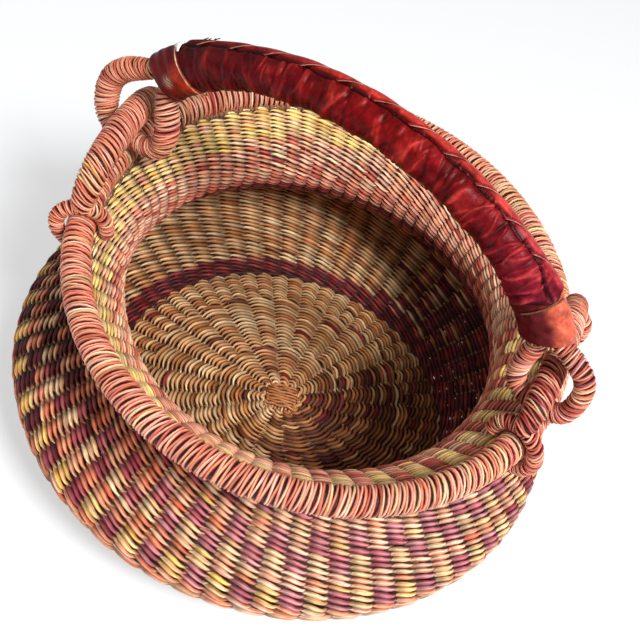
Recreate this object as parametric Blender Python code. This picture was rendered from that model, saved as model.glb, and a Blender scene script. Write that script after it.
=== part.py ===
"""A woven grass basket with a flared collar, two ears on its rim and a swinging leather-covered handle.

Metres, +Z up. The basket stands on Z = 0 with its axis on Z. The handle swings about a line along X.
Azimuths are read about Z from +X, and -Y is the front.
"""

import math

import bmesh
import bpy
from mathutils import Vector

# Woven body, measured to the middle of the weave
WEAVE = 0.006
BASE_RADIUS = 0.119
BASE_CORNER_HEIGHT = 0.0045
BASE_BEVEL = 0.006
LOWER_WALL_SLOPE = math.radians(34)
BELLY_RADIUS = 0.172
BELLY_HEIGHT = 0.052
BELLY_SHIFT = 0.0055
NECK_RADIUS = 0.1185
NECK_HEIGHT = 0.1015
BORDER_WIDTH = 0.011
NECK_BAND_WIDTH = 0.017
CROSS_RADIUS = 0.013
CROSS_DEPTH = 0.002
CROSS_RISE = 0.0008

# Fullness of the wall's curves: how far each tangent reaches, as a share of the stretch's length
LOWER_CURVE_SHARES = (0.40, 0.42)
UPPER_CURVE_SHARES = (0.22, 0.34)
COLLAR_CURVE_SHARES = (0.36, 0.34)
RING_UPPER_SHARES = (0.28, 0.52)
RING_LOWER_SHARES = (0.50, 0.52)

# Rim roll
RIM_RADIUS = 0.150
RIM_HEIGHT = 0.1405
RIM_ROLL = 0.00875
RIM_OVAL = 0.0063
RIM_OVAL_HEADING = math.radians(118)
RIM_RISE = 0.0066
COLLAR_FLARE = math.radians(48)

# Ears
EAR_AZIMUTHS = {"left": math.radians(194), "right": math.radians(5)}
EAR_HALF_ANGLE = math.radians(19.5)
EAR_HEIGHTS = {"left": 0.037, "right": 0.034}
EAR_STRANDS = {"left": 0.0090, "right": 0.0078}
EAR_FOOT_STRAND = 0.0062
EAR_SQUARENESS = 2.2
HITCH_STRAND = 0.005
HITCH_INNER_END = math.radians(193)
HITCH_OUTER_END = math.radians(-106)

# Handle
HINGE_SHIFT = 0.018
RING_STRAND = 0.0065
RING_END_STRAND = 0.0052
RING_NECK_STEPS = 4
RING_SWELLS = {"left": 0.0015, "right": -0.0004}
RING_HALF_WIDTHS = {"left": 0.0225, "right": 0.0175}
RING_SHOULDER = 0.018
RING_INSERT = 0.007
HANDLE_HALF_SPAN = 0.1262
HANDLE_SIDE_SHIFT = 0.0022
HANDLE_ENDS = {"left": math.radians(-77), "right": math.radians(85)}
HANDLE_RISE = 0.098
CUFF_RISE = 0.0440
HANDLE_SKEW = 0.0033
HANDLE_FULLNESS = 1.5
HANDLE_LEAN = math.radians(3)
GRIP_RADIUS = 0.0112
LEATHER = 0.0016
CUFF_LENGTH = 0.020
CUFF_HALF_WIDTH = 0.0150
CUFF_HALF_DEPTH = 0.0106
CUFF_LEATHER = 0.0012
SLEEVE_STEP = 0.0006
SWELL_LENGTH = 0.060

# Lacing along the grip's outer seam
LACE_COUNT = 11
LACE_MARGIN = 0.0175
LACE_WIDTH = 0.0042
LACE_THICKNESS = 0.0016
LACE_ADVANCE = 0.016
LACE_TOP_SHARE = 0.6
LACE_FRONT = math.radians(20)
LACE_BACK = math.radians(-48)

# Clearance between pieces that touch
GAP = 0.0003

# Facets, with the length of profile that a bend of one radian counts for where the steps are shared out
BEND_REACH = 0.035
ROUND_SIDES = 64
CROSS_SIDES = 20
STRAND_SIDES = 10
GRIP_SIDES = 14
BORDER_STEPS = 2
WALL_STEPS = 9
NECK_STEPS = 2
COLLAR_STEPS = 5
EAR_STEPS = 22
HITCH_STEPS = 14
LEG_STEPS = 6
CROSSING_ROUNDS = 6
GRIP_STEPS = 26
LACE_STEPS = 5
CURVE_STEPS = 24
SMOOTH_ANGLE = math.radians(50)


def clear_scene():
    for item in list(bpy.data.objects):
        bpy.data.objects.remove(item)


def material(name, colour, roughness):
    made = bpy.data.materials.new(name)
    made.use_nodes = True
    shader = made.node_tree.nodes["Principled BSDF"]
    shader.inputs["Base Color"].default_value = (*colour, 1.0)
    shader.inputs["Roughness"].default_value = roughness
    shader.inputs["Metallic"].default_value = 0.0
    return made


def loft(name, sections, closed, finish):
    """Joins loops of points into one skin: a closed ring of sections, or a run with a cap on each end."""
    mesh = bmesh.new()
    rows = [[mesh.verts.new(point) for point in section] for section in sections]
    pairs = list(zip(rows, rows[1:]))
    if closed:
        pairs.append((rows[-1], rows[0]))
    else:
        mesh.faces.new(rows[0])
        mesh.faces.new(rows[-1])
    for row, following in pairs:
        for i in range(len(row)):
            j = (i + 1) % len(row)
            mesh.faces.new((row[i], row[j], following[j], following[i]))
    bmesh.ops.recalc_face_normals(mesh, faces=mesh.faces)
    data = bpy.data.meshes.new(name)
    mesh.to_mesh(data)
    mesh.free()
    data.shade_smooth()
    data.set_sharp_from_angle(angle=SMOOTH_ANGLE)
    data.materials.append(finish)
    item = bpy.data.objects.new(name, data)
    bpy.context.collection.objects.link(item)
    return item


def tube_sections(points, radii, sides):
    """Round sections along a path, each turned from the one before by the least amount."""
    sections = []
    across = None
    last = len(points) - 1
    for i, (point, radius) in enumerate(zip(points, radii)):
        along = (points[min(i + 1, last)] - points[max(i - 1, 0)]).normalized()
        if across is None:
            across = along.orthogonal()
        across = (across - along * across.dot(along)).normalized()
        third = along.cross(across)
        turns = [math.tau * k / sides for k in range(sides)]
        sections.append([point + radius * (math.cos(t) * across + math.sin(t) * third) for t in turns])
    return sections


def bezier(start, start_pull, end_pull, end, share):
    keep = 1 - share
    pull = 3 * keep * keep * share * start_pull + 3 * keep * share * share * end_pull
    return keep ** 3 * start + pull + share ** 3 * end


def smooth_step(share):
    share = min(max(share, 0.0), 1.0)
    return share * share * (3 - 2 * share)


# The woven body

def woven_point(azimuth, radius, height):
    """A point of the weave: an oval rim that rises towards the back, and a belly fuller at the front."""
    collar_top = RIM_HEIGHT - 2 * RIM_ROLL
    oval = smooth_step((height - NECK_HEIGHT) / (collar_top - NECK_HEIGHT))
    rise = smooth_step((height - BELLY_HEIGHT) / (NECK_HEIGHT - BELLY_HEIGHT))
    radius += oval * RIM_OVAL * math.cos(2 * (azimuth - RIM_OVAL_HEADING))
    foot = BASE_CORNER_HEIGHT + WEAVE
    shift = smooth_step((height - foot) / (BELLY_HEIGHT - foot)) * (1 - rise) * BELLY_SHIFT
    height += rise * RIM_RISE * math.sin(azimuth)
    return Vector((radius * math.cos(azimuth), radius * math.sin(azimuth) - shift, height))


def rim_point(azimuth):
    return woven_point(azimuth, RIM_RADIUS, RIM_HEIGHT)


def round_rim(azimuth, turn):
    """The direction from the rim's middle line at a turn round it: outward at 0, up at 90 degrees."""
    across = math.cos(turn)
    return Vector((across * math.cos(azimuth), across * math.sin(azimuth), math.sin(turn)))


def stretch(start, start_way, end, end_way, shares, steps):
    """One smooth stretch of a curve between two points, with a heading at each."""
    length = (end - start).length
    start_pull = start + start_way * length * shares[0]
    end_pull = end - end_way * length * shares[1]
    return [bezier(start, start_pull, end_pull, end, i / steps) for i in range(steps + 1)]


def profile_line():
    """The middle of the weave as (radius, height), from the base over belly and neck to the rim."""
    upright = Vector((0.0, 1.0))
    foot = Vector((BASE_RADIUS, BASE_CORNER_HEIGHT))
    foot_way = Vector((math.cos(LOWER_WALL_SLOPE), math.sin(LOWER_WALL_SLOPE)))
    belly = Vector((BELLY_RADIUS, BELLY_HEIGHT))
    neck = Vector((NECK_RADIUS, NECK_HEIGHT))
    flare = Vector((math.sin(COLLAR_FLARE), math.cos(COLLAR_FLARE)))
    top = Vector((RIM_RADIUS, RIM_HEIGHT)) - flare * (RIM_ROLL + GAP)
    lower = stretch(foot, foot_way, belly, upright, LOWER_CURVE_SHARES, CURVE_STEPS)
    upper = stretch(belly, upright, neck, upright, UPPER_CURVE_SHARES, CURVE_STEPS)
    collar = stretch(neck, upright, top, flare, COLLAR_CURVE_SHARES, CURVE_STEPS)
    return lower + upper[1:] + collar[1:]


def distances(line):
    total = [0.0]
    for here, there in zip(line, line[1:]):
        total.append(total[-1] + (there - here).length)
    return total


def line_at(line, total, distance):
    """The point of the profile at a distance along it, and the unit heading there."""
    i = 0
    last = len(line) - 1
    while i < last - 1 and total[i + 1] < distance:
        i += 1
    share = (distance - total[i]) / (total[i + 1] - total[i])
    way_here = line[i + 1] - line[max(i - 1, 0)]
    way_there = line[min(i + 2, last)] - line[i]
    way = way_here.normalized().lerp(way_there.normalized(), share).normalized()
    return line[i].lerp(line[i + 1], share), way


def bend_measure(line, total):
    """The distance of each point of the profile, with its bending up to there added to it."""
    measure = [0.0]
    for i in range(1, len(line)):
        way = line[i] - line[i - 1]
        bend = way.angle(line[i + 1] - line[i]) if i + 1 < len(line) else 0.0
        measure.append(measure[-1] + total[i] - total[i - 1] + BEND_REACH * bend)
    return measure


def read_off(known, wanted, value):
    """The value in the second rising list that belongs to one in the first."""
    i = 0
    while i < len(known) - 2 and known[i + 1] < value:
        i += 1
    share = (value - known[i]) / (known[i + 1] - known[i])
    return wanted[i] + (wanted[i + 1] - wanted[i]) * share


def shared_out(line, total, start, end, steps):
    """Distances from start to end that lie closer together where the profile bends."""
    measure = bend_measure(line, total)
    low, high = (read_off(total, measure, place) for place in (start, end))
    return [read_off(measure, total, low + (high - low) * i / steps) for i in range(steps + 1)]


def profile_loop(line, total, start, end, steps):
    """The outline of one woven band: up its outer face and back down its inner face."""
    outer = []
    inner = []
    for place in shared_out(line, total, start, end, steps):
        point, way = line_at(line, total, place)
        side = Vector((way.y, -way.x)) * WEAVE / 2
        outer.append(point + side)
        inner.append(point - side)
    return outer + inner[::-1]


def turned(name, outline, finish):
    """Carries an outline of (radius, height) once round the basket."""
    azimuths = [math.tau * i / ROUND_SIDES for i in range(ROUND_SIDES)]
    sections = [[woven_point(azimuth, point.x, point.y) for point in outline] for azimuth in azimuths]
    return loft(name, sections, True, finish)


def stacked(name, outline, sides, finish):
    """A flat-ended solid made of circles of (radius, height), from its underside to its top."""
    azimuths = [math.tau * i / sides for i in range(sides)]
    sections = [[Vector((r * math.cos(a), r * math.sin(a), z)) for a in azimuths] for r, z in outline]
    return loft(name, sections, False, finish)


def make_body(finishes):
    line = profile_line()
    total = distances(line)
    neck_at = total[2 * CURVE_STEPS]
    band_at = neck_at - NECK_BAND_WIDTH
    bands = {
        "base_border": (0.0, BORDER_WIDTH - GAP / 2, BORDER_STEPS, "border"),
        "wall": (BORDER_WIDTH + GAP / 2, band_at - GAP / 2, WALL_STEPS, "wall"),
        "neck_band": (band_at + GAP / 2, neck_at - GAP, NECK_STEPS, "border"),
        "collar": (neck_at + GAP, total[-1], COLLAR_STEPS, "collar"),
    }
    for name, (start, end, steps, finish) in bands.items():
        turned(name, profile_loop(line, total, start, end, steps), finishes[finish])
    corner = profile_loop(line, total, 0.0, BORDER_WIDTH, 1)
    edge = Vector((math.cos(LOWER_WALL_SLOPE), math.sin(LOWER_WALL_SLOPE))) * GAP
    outer_corner = corner[0] - edge
    inner_corner = corner[-1] - edge
    recess = CROSS_RADIUS + GAP
    base = [
        (outer_corner.x - BASE_BEVEL, 0.0),
        (outer_corner.x, outer_corner.y),
        (inner_corner.x, inner_corner.y),
        (inner_corner.x - BASE_BEVEL, WEAVE),
        (recess, WEAVE),
        (recess, WEAVE - CROSS_DEPTH),
    ]
    stacked("base_disc", base, ROUND_SIDES, finishes["base"])
    cross = [
        (CROSS_RADIUS, WEAVE - CROSS_DEPTH + GAP),
        (CROSS_RADIUS, WEAVE),
        (CROSS_RADIUS - CROSS_RISE, WEAVE + CROSS_RISE),
    ]
    stacked("base_cross", cross, CROSS_SIDES, finishes["border"])


def make_rim(finishes):
    turns = [math.tau * (i + 0.5) / STRAND_SIDES for i in range(STRAND_SIDES)]
    sections = []
    for i in range(ROUND_SIDES):
        azimuth = math.tau * i / ROUND_SIDES
        centre = rim_point(azimuth)
        sections.append([centre + RIM_ROLL * round_rim(azimuth, turn) for turn in turns])
    loft("rim_roll", sections, True, finishes["grass_wrap"])


# The ears

def hitch(name, azimuth, finish):
    """A strand laid once round the rim roll, with both ends against the collar below it."""
    reach = RIM_ROLL + GAP + HITCH_STRAND
    points = []
    for i in range(HITCH_STEPS + 1):
        turn = HITCH_INNER_END + (HITCH_OUTER_END - HITCH_INNER_END) * i / HITCH_STEPS
        points.append(rim_point(azimuth) + reach * round_rim(azimuth, turn))
    sections = tube_sections(points, [HITCH_STRAND] * len(points), STRAND_SIDES)
    return loft(name, sections, False, finish)


def join(target, piece):
    """Fuses a piece of the same strand into the target and leaves the piece as a hidden guide."""
    union = target.modifiers.new(piece.name, "BOOLEAN")
    union.operation = "UNION"
    union.solver = "EXACT"
    union.object = piece
    piece.hide_render = True
    piece.display_type = "WIRE"


def ear_point(side, share):
    """A point of an ear's arch, which stands over the straight line between its feet at -1 and 1."""
    foot = RIM_ROLL + GAP + HITCH_STRAND
    arch = max(1 - abs(share) ** EAR_SQUARENESS, 0.0) ** (1 / EAR_SQUARENESS)
    height = (EAR_HEIGHTS[side] - foot) * arch
    centre = EAR_AZIMUTHS[side]
    feet = [rim_point(centre + place * EAR_HALF_ANGLE) for place in (-1, 1)]
    return feet[0].lerp(feet[1], (1 + share) / 2) + Vector((0, 0, foot + height))


def make_ear(side, finishes):
    points = []
    radii = []
    for i in range(EAR_STEPS + 1):
        turn = (2 * i / EAR_STEPS - 1) * math.pi / 2
        points.append(ear_point(side, math.sin(turn)))
        radii.append(EAR_FOOT_STRAND + (EAR_STRANDS[side] - EAR_FOOT_STRAND) * math.cos(turn) ** 0.5)
    ear = loft(f"ear_{side}", tube_sections(points, radii, STRAND_SIDES), False, finishes["grass_wrap"])
    for number, place in enumerate((-1, 1)):
        azimuth = EAR_AZIMUTHS[side] + place * EAR_HALF_ANGLE
        guide = hitch(f"ear_{side}_hitch_{number + 1}", azimuth, finishes["grass_wrap"])
        join(ear, guide)


# The handle, in its own frame: X along the hinge, Z up from it

def rim_crossing(side):
    """The point of the rim's middle line that the hinge line passes over on one side."""
    point = Vector((-RIM_RADIUS if side == "left" else RIM_RADIUS, 0.0, 0.0))
    for _ in range(CROSSING_ROUNDS):
        point = rim_point(math.atan2(-HINGE_SHIFT, point.x))
    return point


def hinge_origin():
    """The middle of the hinge line, which runs through both rings where they sit on the rim roll."""
    seat = max(rim_crossing(side).z for side in EAR_AZIMUTHS)
    return Vector((0.0, -HINGE_SHIFT, seat + RIM_ROLL + GAP + RING_STRAND))


def strand_reach(side):
    """How far along X the ear's strand passes through the ring on one side."""
    foot, other = ear_point(side, -1), ear_point(side, 1)
    share = 2 * (-HINGE_SHIFT - foot.y) / (other.y - foot.y) - 1
    return ear_point(side, share).x


def handle_point(turn):
    """A point of the handle's middle line, over the hinge at 0 degrees and further down to either side."""
    fullness = max(math.cos(turn), 0.0) ** HANDLE_FULLNESS
    rise = CUFF_RISE + (HANDLE_RISE - CUFF_RISE) * fullness - HANDLE_SKEW * math.sin(turn)
    return Vector((HANDLE_HALF_SPAN * math.sin(turn) + HANDLE_SIDE_SHIFT, 0.0, rise))


def handle_line():
    """The handle's middle line as close points, and the distance of each along it."""
    start, end = HANDLE_ENDS["left"], HANDLE_ENDS["right"]
    steps = 8 * GRIP_STEPS
    fine = [handle_point(start + (end - start) * i / steps) for i in range(steps + 1)]
    return fine, distances(fine)


def handle_frame(line, total, distance):
    """The point at a distance along the handle, with its heading and its outer direction."""
    point, way = line_at(line, total, distance)
    return point, way, Vector((-way.z, 0.0, way.x))


def end_share(total, distance):
    """1 at either end of the handle, falling to 0 where the flattened stretch ends."""
    from_end = min(distance, total[-1] - distance)
    return 1 - smooth_step(from_end / SWELL_LENGTH)


def handle_surface(line, total, distance, turn, inset):
    """A point round the handle, drawn in by an inset. The handle is round, but wide and flat at its ends."""
    point, _, out = handle_frame(line, total, distance)
    share = end_share(total, distance)
    width = GRIP_RADIUS + (CUFF_HALF_WIDTH - GRIP_RADIUS) * share - inset
    depth = GRIP_RADIUS + (CUFF_HALF_DEPTH - GRIP_RADIUS) * share - inset
    return point + math.cos(turn) * width * out - math.sin(turn) * Vector((0, depth, 0))


def handle_section(line, total, distance, inset):
    turns = [math.tau * i / GRIP_SIDES for i in range(GRIP_SIDES)]
    return [handle_surface(line, total, distance, turn, inset) for turn in turns]


def cuff_places():
    """Distances from the handle's end that the cuff and the core inside it share."""
    start = RING_INSERT + 2 * GAP
    return [start, (start + CUFF_LENGTH) / 2, CUFF_LENGTH]


def grip_places(full):
    """Distances along the handle that the leather grip and the core inside it share."""
    start = CUFF_LENGTH + GAP
    return [start + (full - 2 * start) * i / GRIP_STEPS for i in range(GRIP_STEPS + 1)]


def sleeve(name, line, total, places, outer, inner, finish):
    """A leather tube round the handle, open at both ends."""
    outside = [handle_section(line, total, place, outer) for place in places]
    inside = [handle_section(line, total, place, inner) for place in reversed(places)]
    return loft(name, outside + inside, True, finish)


def ring_leg(line, total, side, lean):
    """Half of a ring: straight out of the cuff, round a shoulder and in to the middle of its bottom."""
    onward = -1 if side == "left" else 1
    point, way, out = handle_frame(line, total, RING_INSERT if side == "left" else total[-1] - RING_INSERT)
    entry = point + out * lean * (RING_END_STRAND + GAP)
    mouth = entry + way * onward * RING_INSERT
    across = Vector((lean * onward, 0.0, 0.0))
    bottom = Vector((rim_crossing(side).x, 0.0, 0.0))
    shoulder = Vector((strand_reach(side), 0.0, RING_SHOULDER)) + across * RING_HALF_WIDTHS[side]
    down = Vector((0.0, 0.0, -1.0))
    upper = stretch(mouth, way * onward, shoulder, down, RING_UPPER_SHARES, LEG_STEPS)
    lower = stretch(shoulder, down, bottom, -across, RING_LOWER_SHARES, LEG_STEPS)
    return [entry] + upper + lower[1:]


def make_ring(name, line, total, side, finish):
    inner = ring_leg(line, total, side, -1)
    outer = ring_leg(line, total, side, 1)
    points = inner + outer[-2::-1]
    leg = len(inner) - 1
    radii = []
    for i in range(len(points)):
        swell = RING_SWELLS[side] * math.sin(math.pi * i / leg) ** 2
        neck = smooth_step(min(i, 2 * leg - i) / RING_NECK_STEPS)
        radii.append(RING_END_STRAND + (RING_STRAND - RING_END_STRAND) * neck + swell)
    return loft(name, tube_sections(points, radii, STRAND_SIDES), False, finish)


def make_lace(name, line, total, middle, finish):
    """One leather strap laid slantwise over the grip's outer seam."""
    sections = []
    low_inset = -SLEEVE_STEP - GAP
    high_inset = low_inset - LACE_THICKNESS
    for i in range(LACE_STEPS + 1):
        share = i / LACE_STEPS
        distance = middle + (share - 0.5) * LACE_ADVANCE
        turn = LACE_FRONT + (LACE_BACK - LACE_FRONT) * share
        low = handle_surface(line, total, distance, turn, low_inset)
        high = handle_surface(line, total, distance, turn, high_inset)
        half = handle_frame(line, total, distance)[1] * LACE_WIDTH / 2
        top = half * LACE_TOP_SHARE
        sections.append([low - half, low + half, high + top, high - top])
    return loft(name, sections, False, finish)


def make_handle(finishes):
    pivot = bpy.data.objects.new("handle_pivot", None)
    bpy.context.collection.objects.link(pivot)
    pivot.location = hinge_origin()
    pivot.rotation_euler = (-HANDLE_LEAN, 0.0, 0.0)
    line, total = handle_line()
    full = total[-1]
    near, along = cuff_places(), grip_places(full)
    far = [full - place for place in reversed(near)]
    core = [handle_section(line, total, place, LEATHER + GAP) for place in near[:-1] + along + far[1:]]
    pieces = [
        loft("handle_core", core, False, finishes["grass"]),
        sleeve("leather_grip", line, total, along, -SLEEVE_STEP, LEATHER, finishes["leather"]),
        sleeve("cuff_left", line, total, [0.0] + near, 0.0, CUFF_LEATHER, finishes["cuff"]),
        sleeve("cuff_right", line, total, far + [full], 0.0, CUFF_LEATHER, finishes["cuff"]),
    ]
    for side in RING_HALF_WIDTHS:
        pieces.append(make_ring(f"handle_ring_{side}", line, total, side, finishes["grass_wrap"]))
    first = along[0] + LACE_MARGIN
    for i in range(LACE_COUNT):
        middle = first + (full - 2 * first) * i / (LACE_COUNT - 1)
        pieces.append(make_lace(f"lace_{i + 1:02d}", line, total, middle, finishes["lace"]))
    for piece in pieces:
        piece.parent = pivot


def make_finishes():
    return {
        "base": material("natural_grass", (0.42, 0.27, 0.13), 0.65),
        "border": material("wine_grass", (0.16, 0.02, 0.02), 0.60),
        "wall": material("dyed_grass", (0.46, 0.17, 0.09), 0.60),
        "collar": material("yellow_grass", (0.72, 0.48, 0.20), 0.60),
        "grass_wrap": material("pink_grass", (0.62, 0.25, 0.15), 0.55),
        "grass": material("plain_grass", (0.50, 0.36, 0.18), 0.70),
        "leather": material("oxblood_leather", (0.15, 0.008, 0.010), 0.30),
        "cuff": material("red_leather", (0.34, 0.035, 0.015), 0.32),
        "lace": material("lacing_leather", (0.30, 0.05, 0.045), 0.40),
    }


clear_scene()
finishes = make_finishes()
make_body(finishes)
make_rim(finishes)
for ear_side in EAR_AZIMUTHS:
    make_ear(ear_side, finishes)
make_handle(finishes)
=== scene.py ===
"""Looks of the grass egg basket: twined rows, a wound rim, ears and rings, and a laced leather handle."""
import math
from math import radians

import bpy
import numpy as np
from mathutils import Matrix, Vector


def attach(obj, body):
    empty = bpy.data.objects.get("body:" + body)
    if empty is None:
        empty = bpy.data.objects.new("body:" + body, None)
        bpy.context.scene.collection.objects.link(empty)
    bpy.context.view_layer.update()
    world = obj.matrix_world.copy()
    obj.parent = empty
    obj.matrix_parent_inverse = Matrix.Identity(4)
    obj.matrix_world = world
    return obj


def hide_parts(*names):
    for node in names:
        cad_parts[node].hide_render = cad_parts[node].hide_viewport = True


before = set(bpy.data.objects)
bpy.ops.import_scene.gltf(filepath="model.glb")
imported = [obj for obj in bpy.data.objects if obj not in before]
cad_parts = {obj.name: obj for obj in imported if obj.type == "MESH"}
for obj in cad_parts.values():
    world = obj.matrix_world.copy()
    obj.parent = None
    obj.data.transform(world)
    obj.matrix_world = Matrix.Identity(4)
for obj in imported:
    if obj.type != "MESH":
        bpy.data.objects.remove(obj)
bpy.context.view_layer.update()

TAU = math.tau
RNG = np.random.default_rng(20)

# The basket's sizes, as the CAD model has them
WEAVE = 0.006
BASE_RADIUS = 0.119
BASE_CORNER_HEIGHT = 0.0045
LOWER_WALL_SLOPE = radians(34)
BELLY_RADIUS = 0.172
BELLY_HEIGHT = 0.052
BELLY_SHIFT = 0.0055
NECK_RADIUS = 0.1185
NECK_HEIGHT = 0.1015
BORDER_WIDTH = 0.011
NECK_BAND_WIDTH = 0.017
LOWER_CURVE_SHARES = (0.40, 0.42)
UPPER_CURVE_SHARES = (0.22, 0.34)
COLLAR_CURVE_SHARES = (0.36, 0.34)
RING_UPPER_SHARES = (0.28, 0.52)
RING_LOWER_SHARES = (0.50, 0.52)
RIM_RADIUS = 0.150
RIM_HEIGHT = 0.1405
RIM_ROLL = 0.00875
RIM_OVAL = 0.0063
RIM_OVAL_HEADING = radians(118)
RIM_RISE = 0.0066
COLLAR_FLARE = radians(48)
EAR_AZIMUTHS = {"left": radians(194), "right": radians(5)}
EAR_HALF_ANGLE = radians(19.5)
EAR_HEIGHTS = {"left": 0.037, "right": 0.034}
EAR_STRANDS = {"left": 0.0090, "right": 0.0078}
EAR_FOOT_STRAND = 0.0062
EAR_SQUARENESS = 2.2
HITCH_STRAND = 0.005
HITCH_INNER_END = radians(193)
HITCH_OUTER_END = radians(-106)
HINGE_SHIFT = 0.018
RING_STRAND = 0.0065
RING_END_STRAND = 0.0052
RING_NECK_STEPS = 4
RING_SWELLS = {"left": 0.0015, "right": -0.0004}
RING_HALF_WIDTHS = {"left": 0.0225, "right": 0.0175}
RING_SHOULDER = 0.018
RING_INSERT = 0.007
HANDLE_HALF_SPAN = 0.1262
HANDLE_SIDE_SHIFT = 0.0022
HANDLE_ENDS = {"left": radians(-77), "right": radians(85)}
HANDLE_RISE = 0.098
CUFF_RISE = 0.0440
HANDLE_SKEW = 0.0033
HANDLE_FULLNESS = 1.5
HANDLE_LEAN = radians(3)
GRIP_RADIUS = 0.0112
LEATHER = 0.0016
CUFF_LENGTH = 0.020
CUFF_HALF_WIDTH = 0.0150
CUFF_HALF_DEPTH = 0.0106
CUFF_LEATHER = 0.0012
SLEEVE_STEP = 0.0006
SWELL_LENGTH = 0.060
LACE_COUNT = 11
LACE_MARGIN = 0.0175
LACE_ADVANCE = 0.016
LACE_FRONT = radians(20)
LACE_BACK = radians(-48)
GAP = 0.0003


def smooth(x):
    x = np.clip(x, 0.0, 1.0)
    return x * x * (3 - 2 * x)


def unit(v):
    return v / np.maximum(np.linalg.norm(v, axis=-1, keepdims=True), 1e-12)


def blend(a, b, share):
    return a * (1 - share) + b * share


def away(turn, other):
    """The angle from one turn to another, the short way round."""
    return (turn - other + math.pi) % TAU - math.pi


def sample(place, at, values):
    """Rows of values, known at some places, at other places between them."""
    return np.stack([np.interp(place, at, values[:, i]) for i in range(values.shape[1])], -1)


def spread(shape):
    return RNG.uniform(-1, 1, shape)


# The basket's skin

def woven(az, radius, height):
    """A point of the basket from its azimuth, radius and height, with the belly's shift and the rim's oval and rise."""
    collar_top = RIM_HEIGHT - 2 * RIM_ROLL
    oval = smooth((height - NECK_HEIGHT) / (collar_top - NECK_HEIGHT))
    rise = smooth((height - BELLY_HEIGHT) / (NECK_HEIGHT - BELLY_HEIGHT))
    radius = radius + oval * RIM_OVAL * np.cos(2 * (az - RIM_OVAL_HEADING))
    foot = BASE_CORNER_HEIGHT + WEAVE
    shift = smooth((height - foot) / (BELLY_HEIGHT - foot)) * (1 - rise) * BELLY_SHIFT
    return np.stack([radius * np.cos(az), radius * np.sin(az) - shift, height + rise * RIM_RISE * np.sin(az)], -1)


def bezier(a, b, c, d, t):
    t = np.asarray(t)[:, None]
    k = 1 - t
    return k ** 3 * a + 3 * k * k * t * b + 3 * k * t * t * c + t ** 3 * d


def stretch(start, start_way, end, end_way, shares, steps):
    """A curve between two points that leaves and arrives along two directions."""
    start, start_way, end, end_way = (np.asarray(v, float) for v in (start, start_way, end, end_way))
    length = np.linalg.norm(end - start)
    t = np.linspace(0, 1, steps + 1)
    return bezier(start, start + start_way * length * shares[0], end - end_way * length * shares[1], end, t)


def lengths(line):
    return np.concatenate([[0.0], np.cumsum(np.linalg.norm(np.diff(line, axis=0), axis=1))])


PROFILE_STEPS = 80


def make_profile():
    foot, belly = (BASE_RADIUS, BASE_CORNER_HEIGHT), (BELLY_RADIUS, BELLY_HEIGHT)
    neck, upright = (NECK_RADIUS, NECK_HEIGHT), (0.0, 1.0)
    foot_way = (math.cos(LOWER_WALL_SLOPE), math.sin(LOWER_WALL_SLOPE))
    flare = (math.sin(COLLAR_FLARE), math.cos(COLLAR_FLARE))
    top = (RIM_RADIUS - flare[0] * (RIM_ROLL + GAP), RIM_HEIGHT - flare[1] * (RIM_ROLL + GAP))
    lower = stretch(foot, foot_way, belly, upright, LOWER_CURVE_SHARES, PROFILE_STEPS)
    upper = stretch(belly, upright, neck, upright, UPPER_CURVE_SHARES, PROFILE_STEPS)
    collar = stretch(neck, upright, top, flare, COLLAR_CURVE_SHARES, PROFILE_STEPS)
    return np.concatenate([lower, upper[1:], collar[1:]])


PROFILE = make_profile()
PROFILE_AT = lengths(PROFILE)
PROFILE_WAY = unit(np.gradient(PROFILE, axis=0))
BELLY_AT = PROFILE_AT[PROFILE_STEPS]
NECK_AT = PROFILE_AT[2 * PROFILE_STEPS]
BAND_AT = NECK_AT - NECK_BAND_WIDTH
COLLAR_END = PROFILE_AT[-1]


def skin(az, distance, offset):
    """Points at a distance up the wall's profile, and an offset outward from the middle of the weave."""
    point, way = sample(distance, PROFILE_AT, PROFILE), sample(distance, PROFILE_AT, PROFILE_WAY)
    return woven(az, point[..., 0] + way[..., 1] * offset, point[..., 1] - way[..., 0] * offset)


def floor_skin(az, distance, offset):
    """Points of the flat base: the distance runs outward from its middle and the offset downward."""
    az, distance, offset = np.broadcast_arrays(az, distance, offset)
    return np.stack([distance * np.cos(az), distance * np.sin(az), WEAVE / 2 - offset], -1)


# Meshes

CREST_SHARPNESS = 2.3
STRIP_SHAPE = 0.02
MANY_STRIPS = 400
STRIP_MARGINS = (0.01, 0.06)


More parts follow.
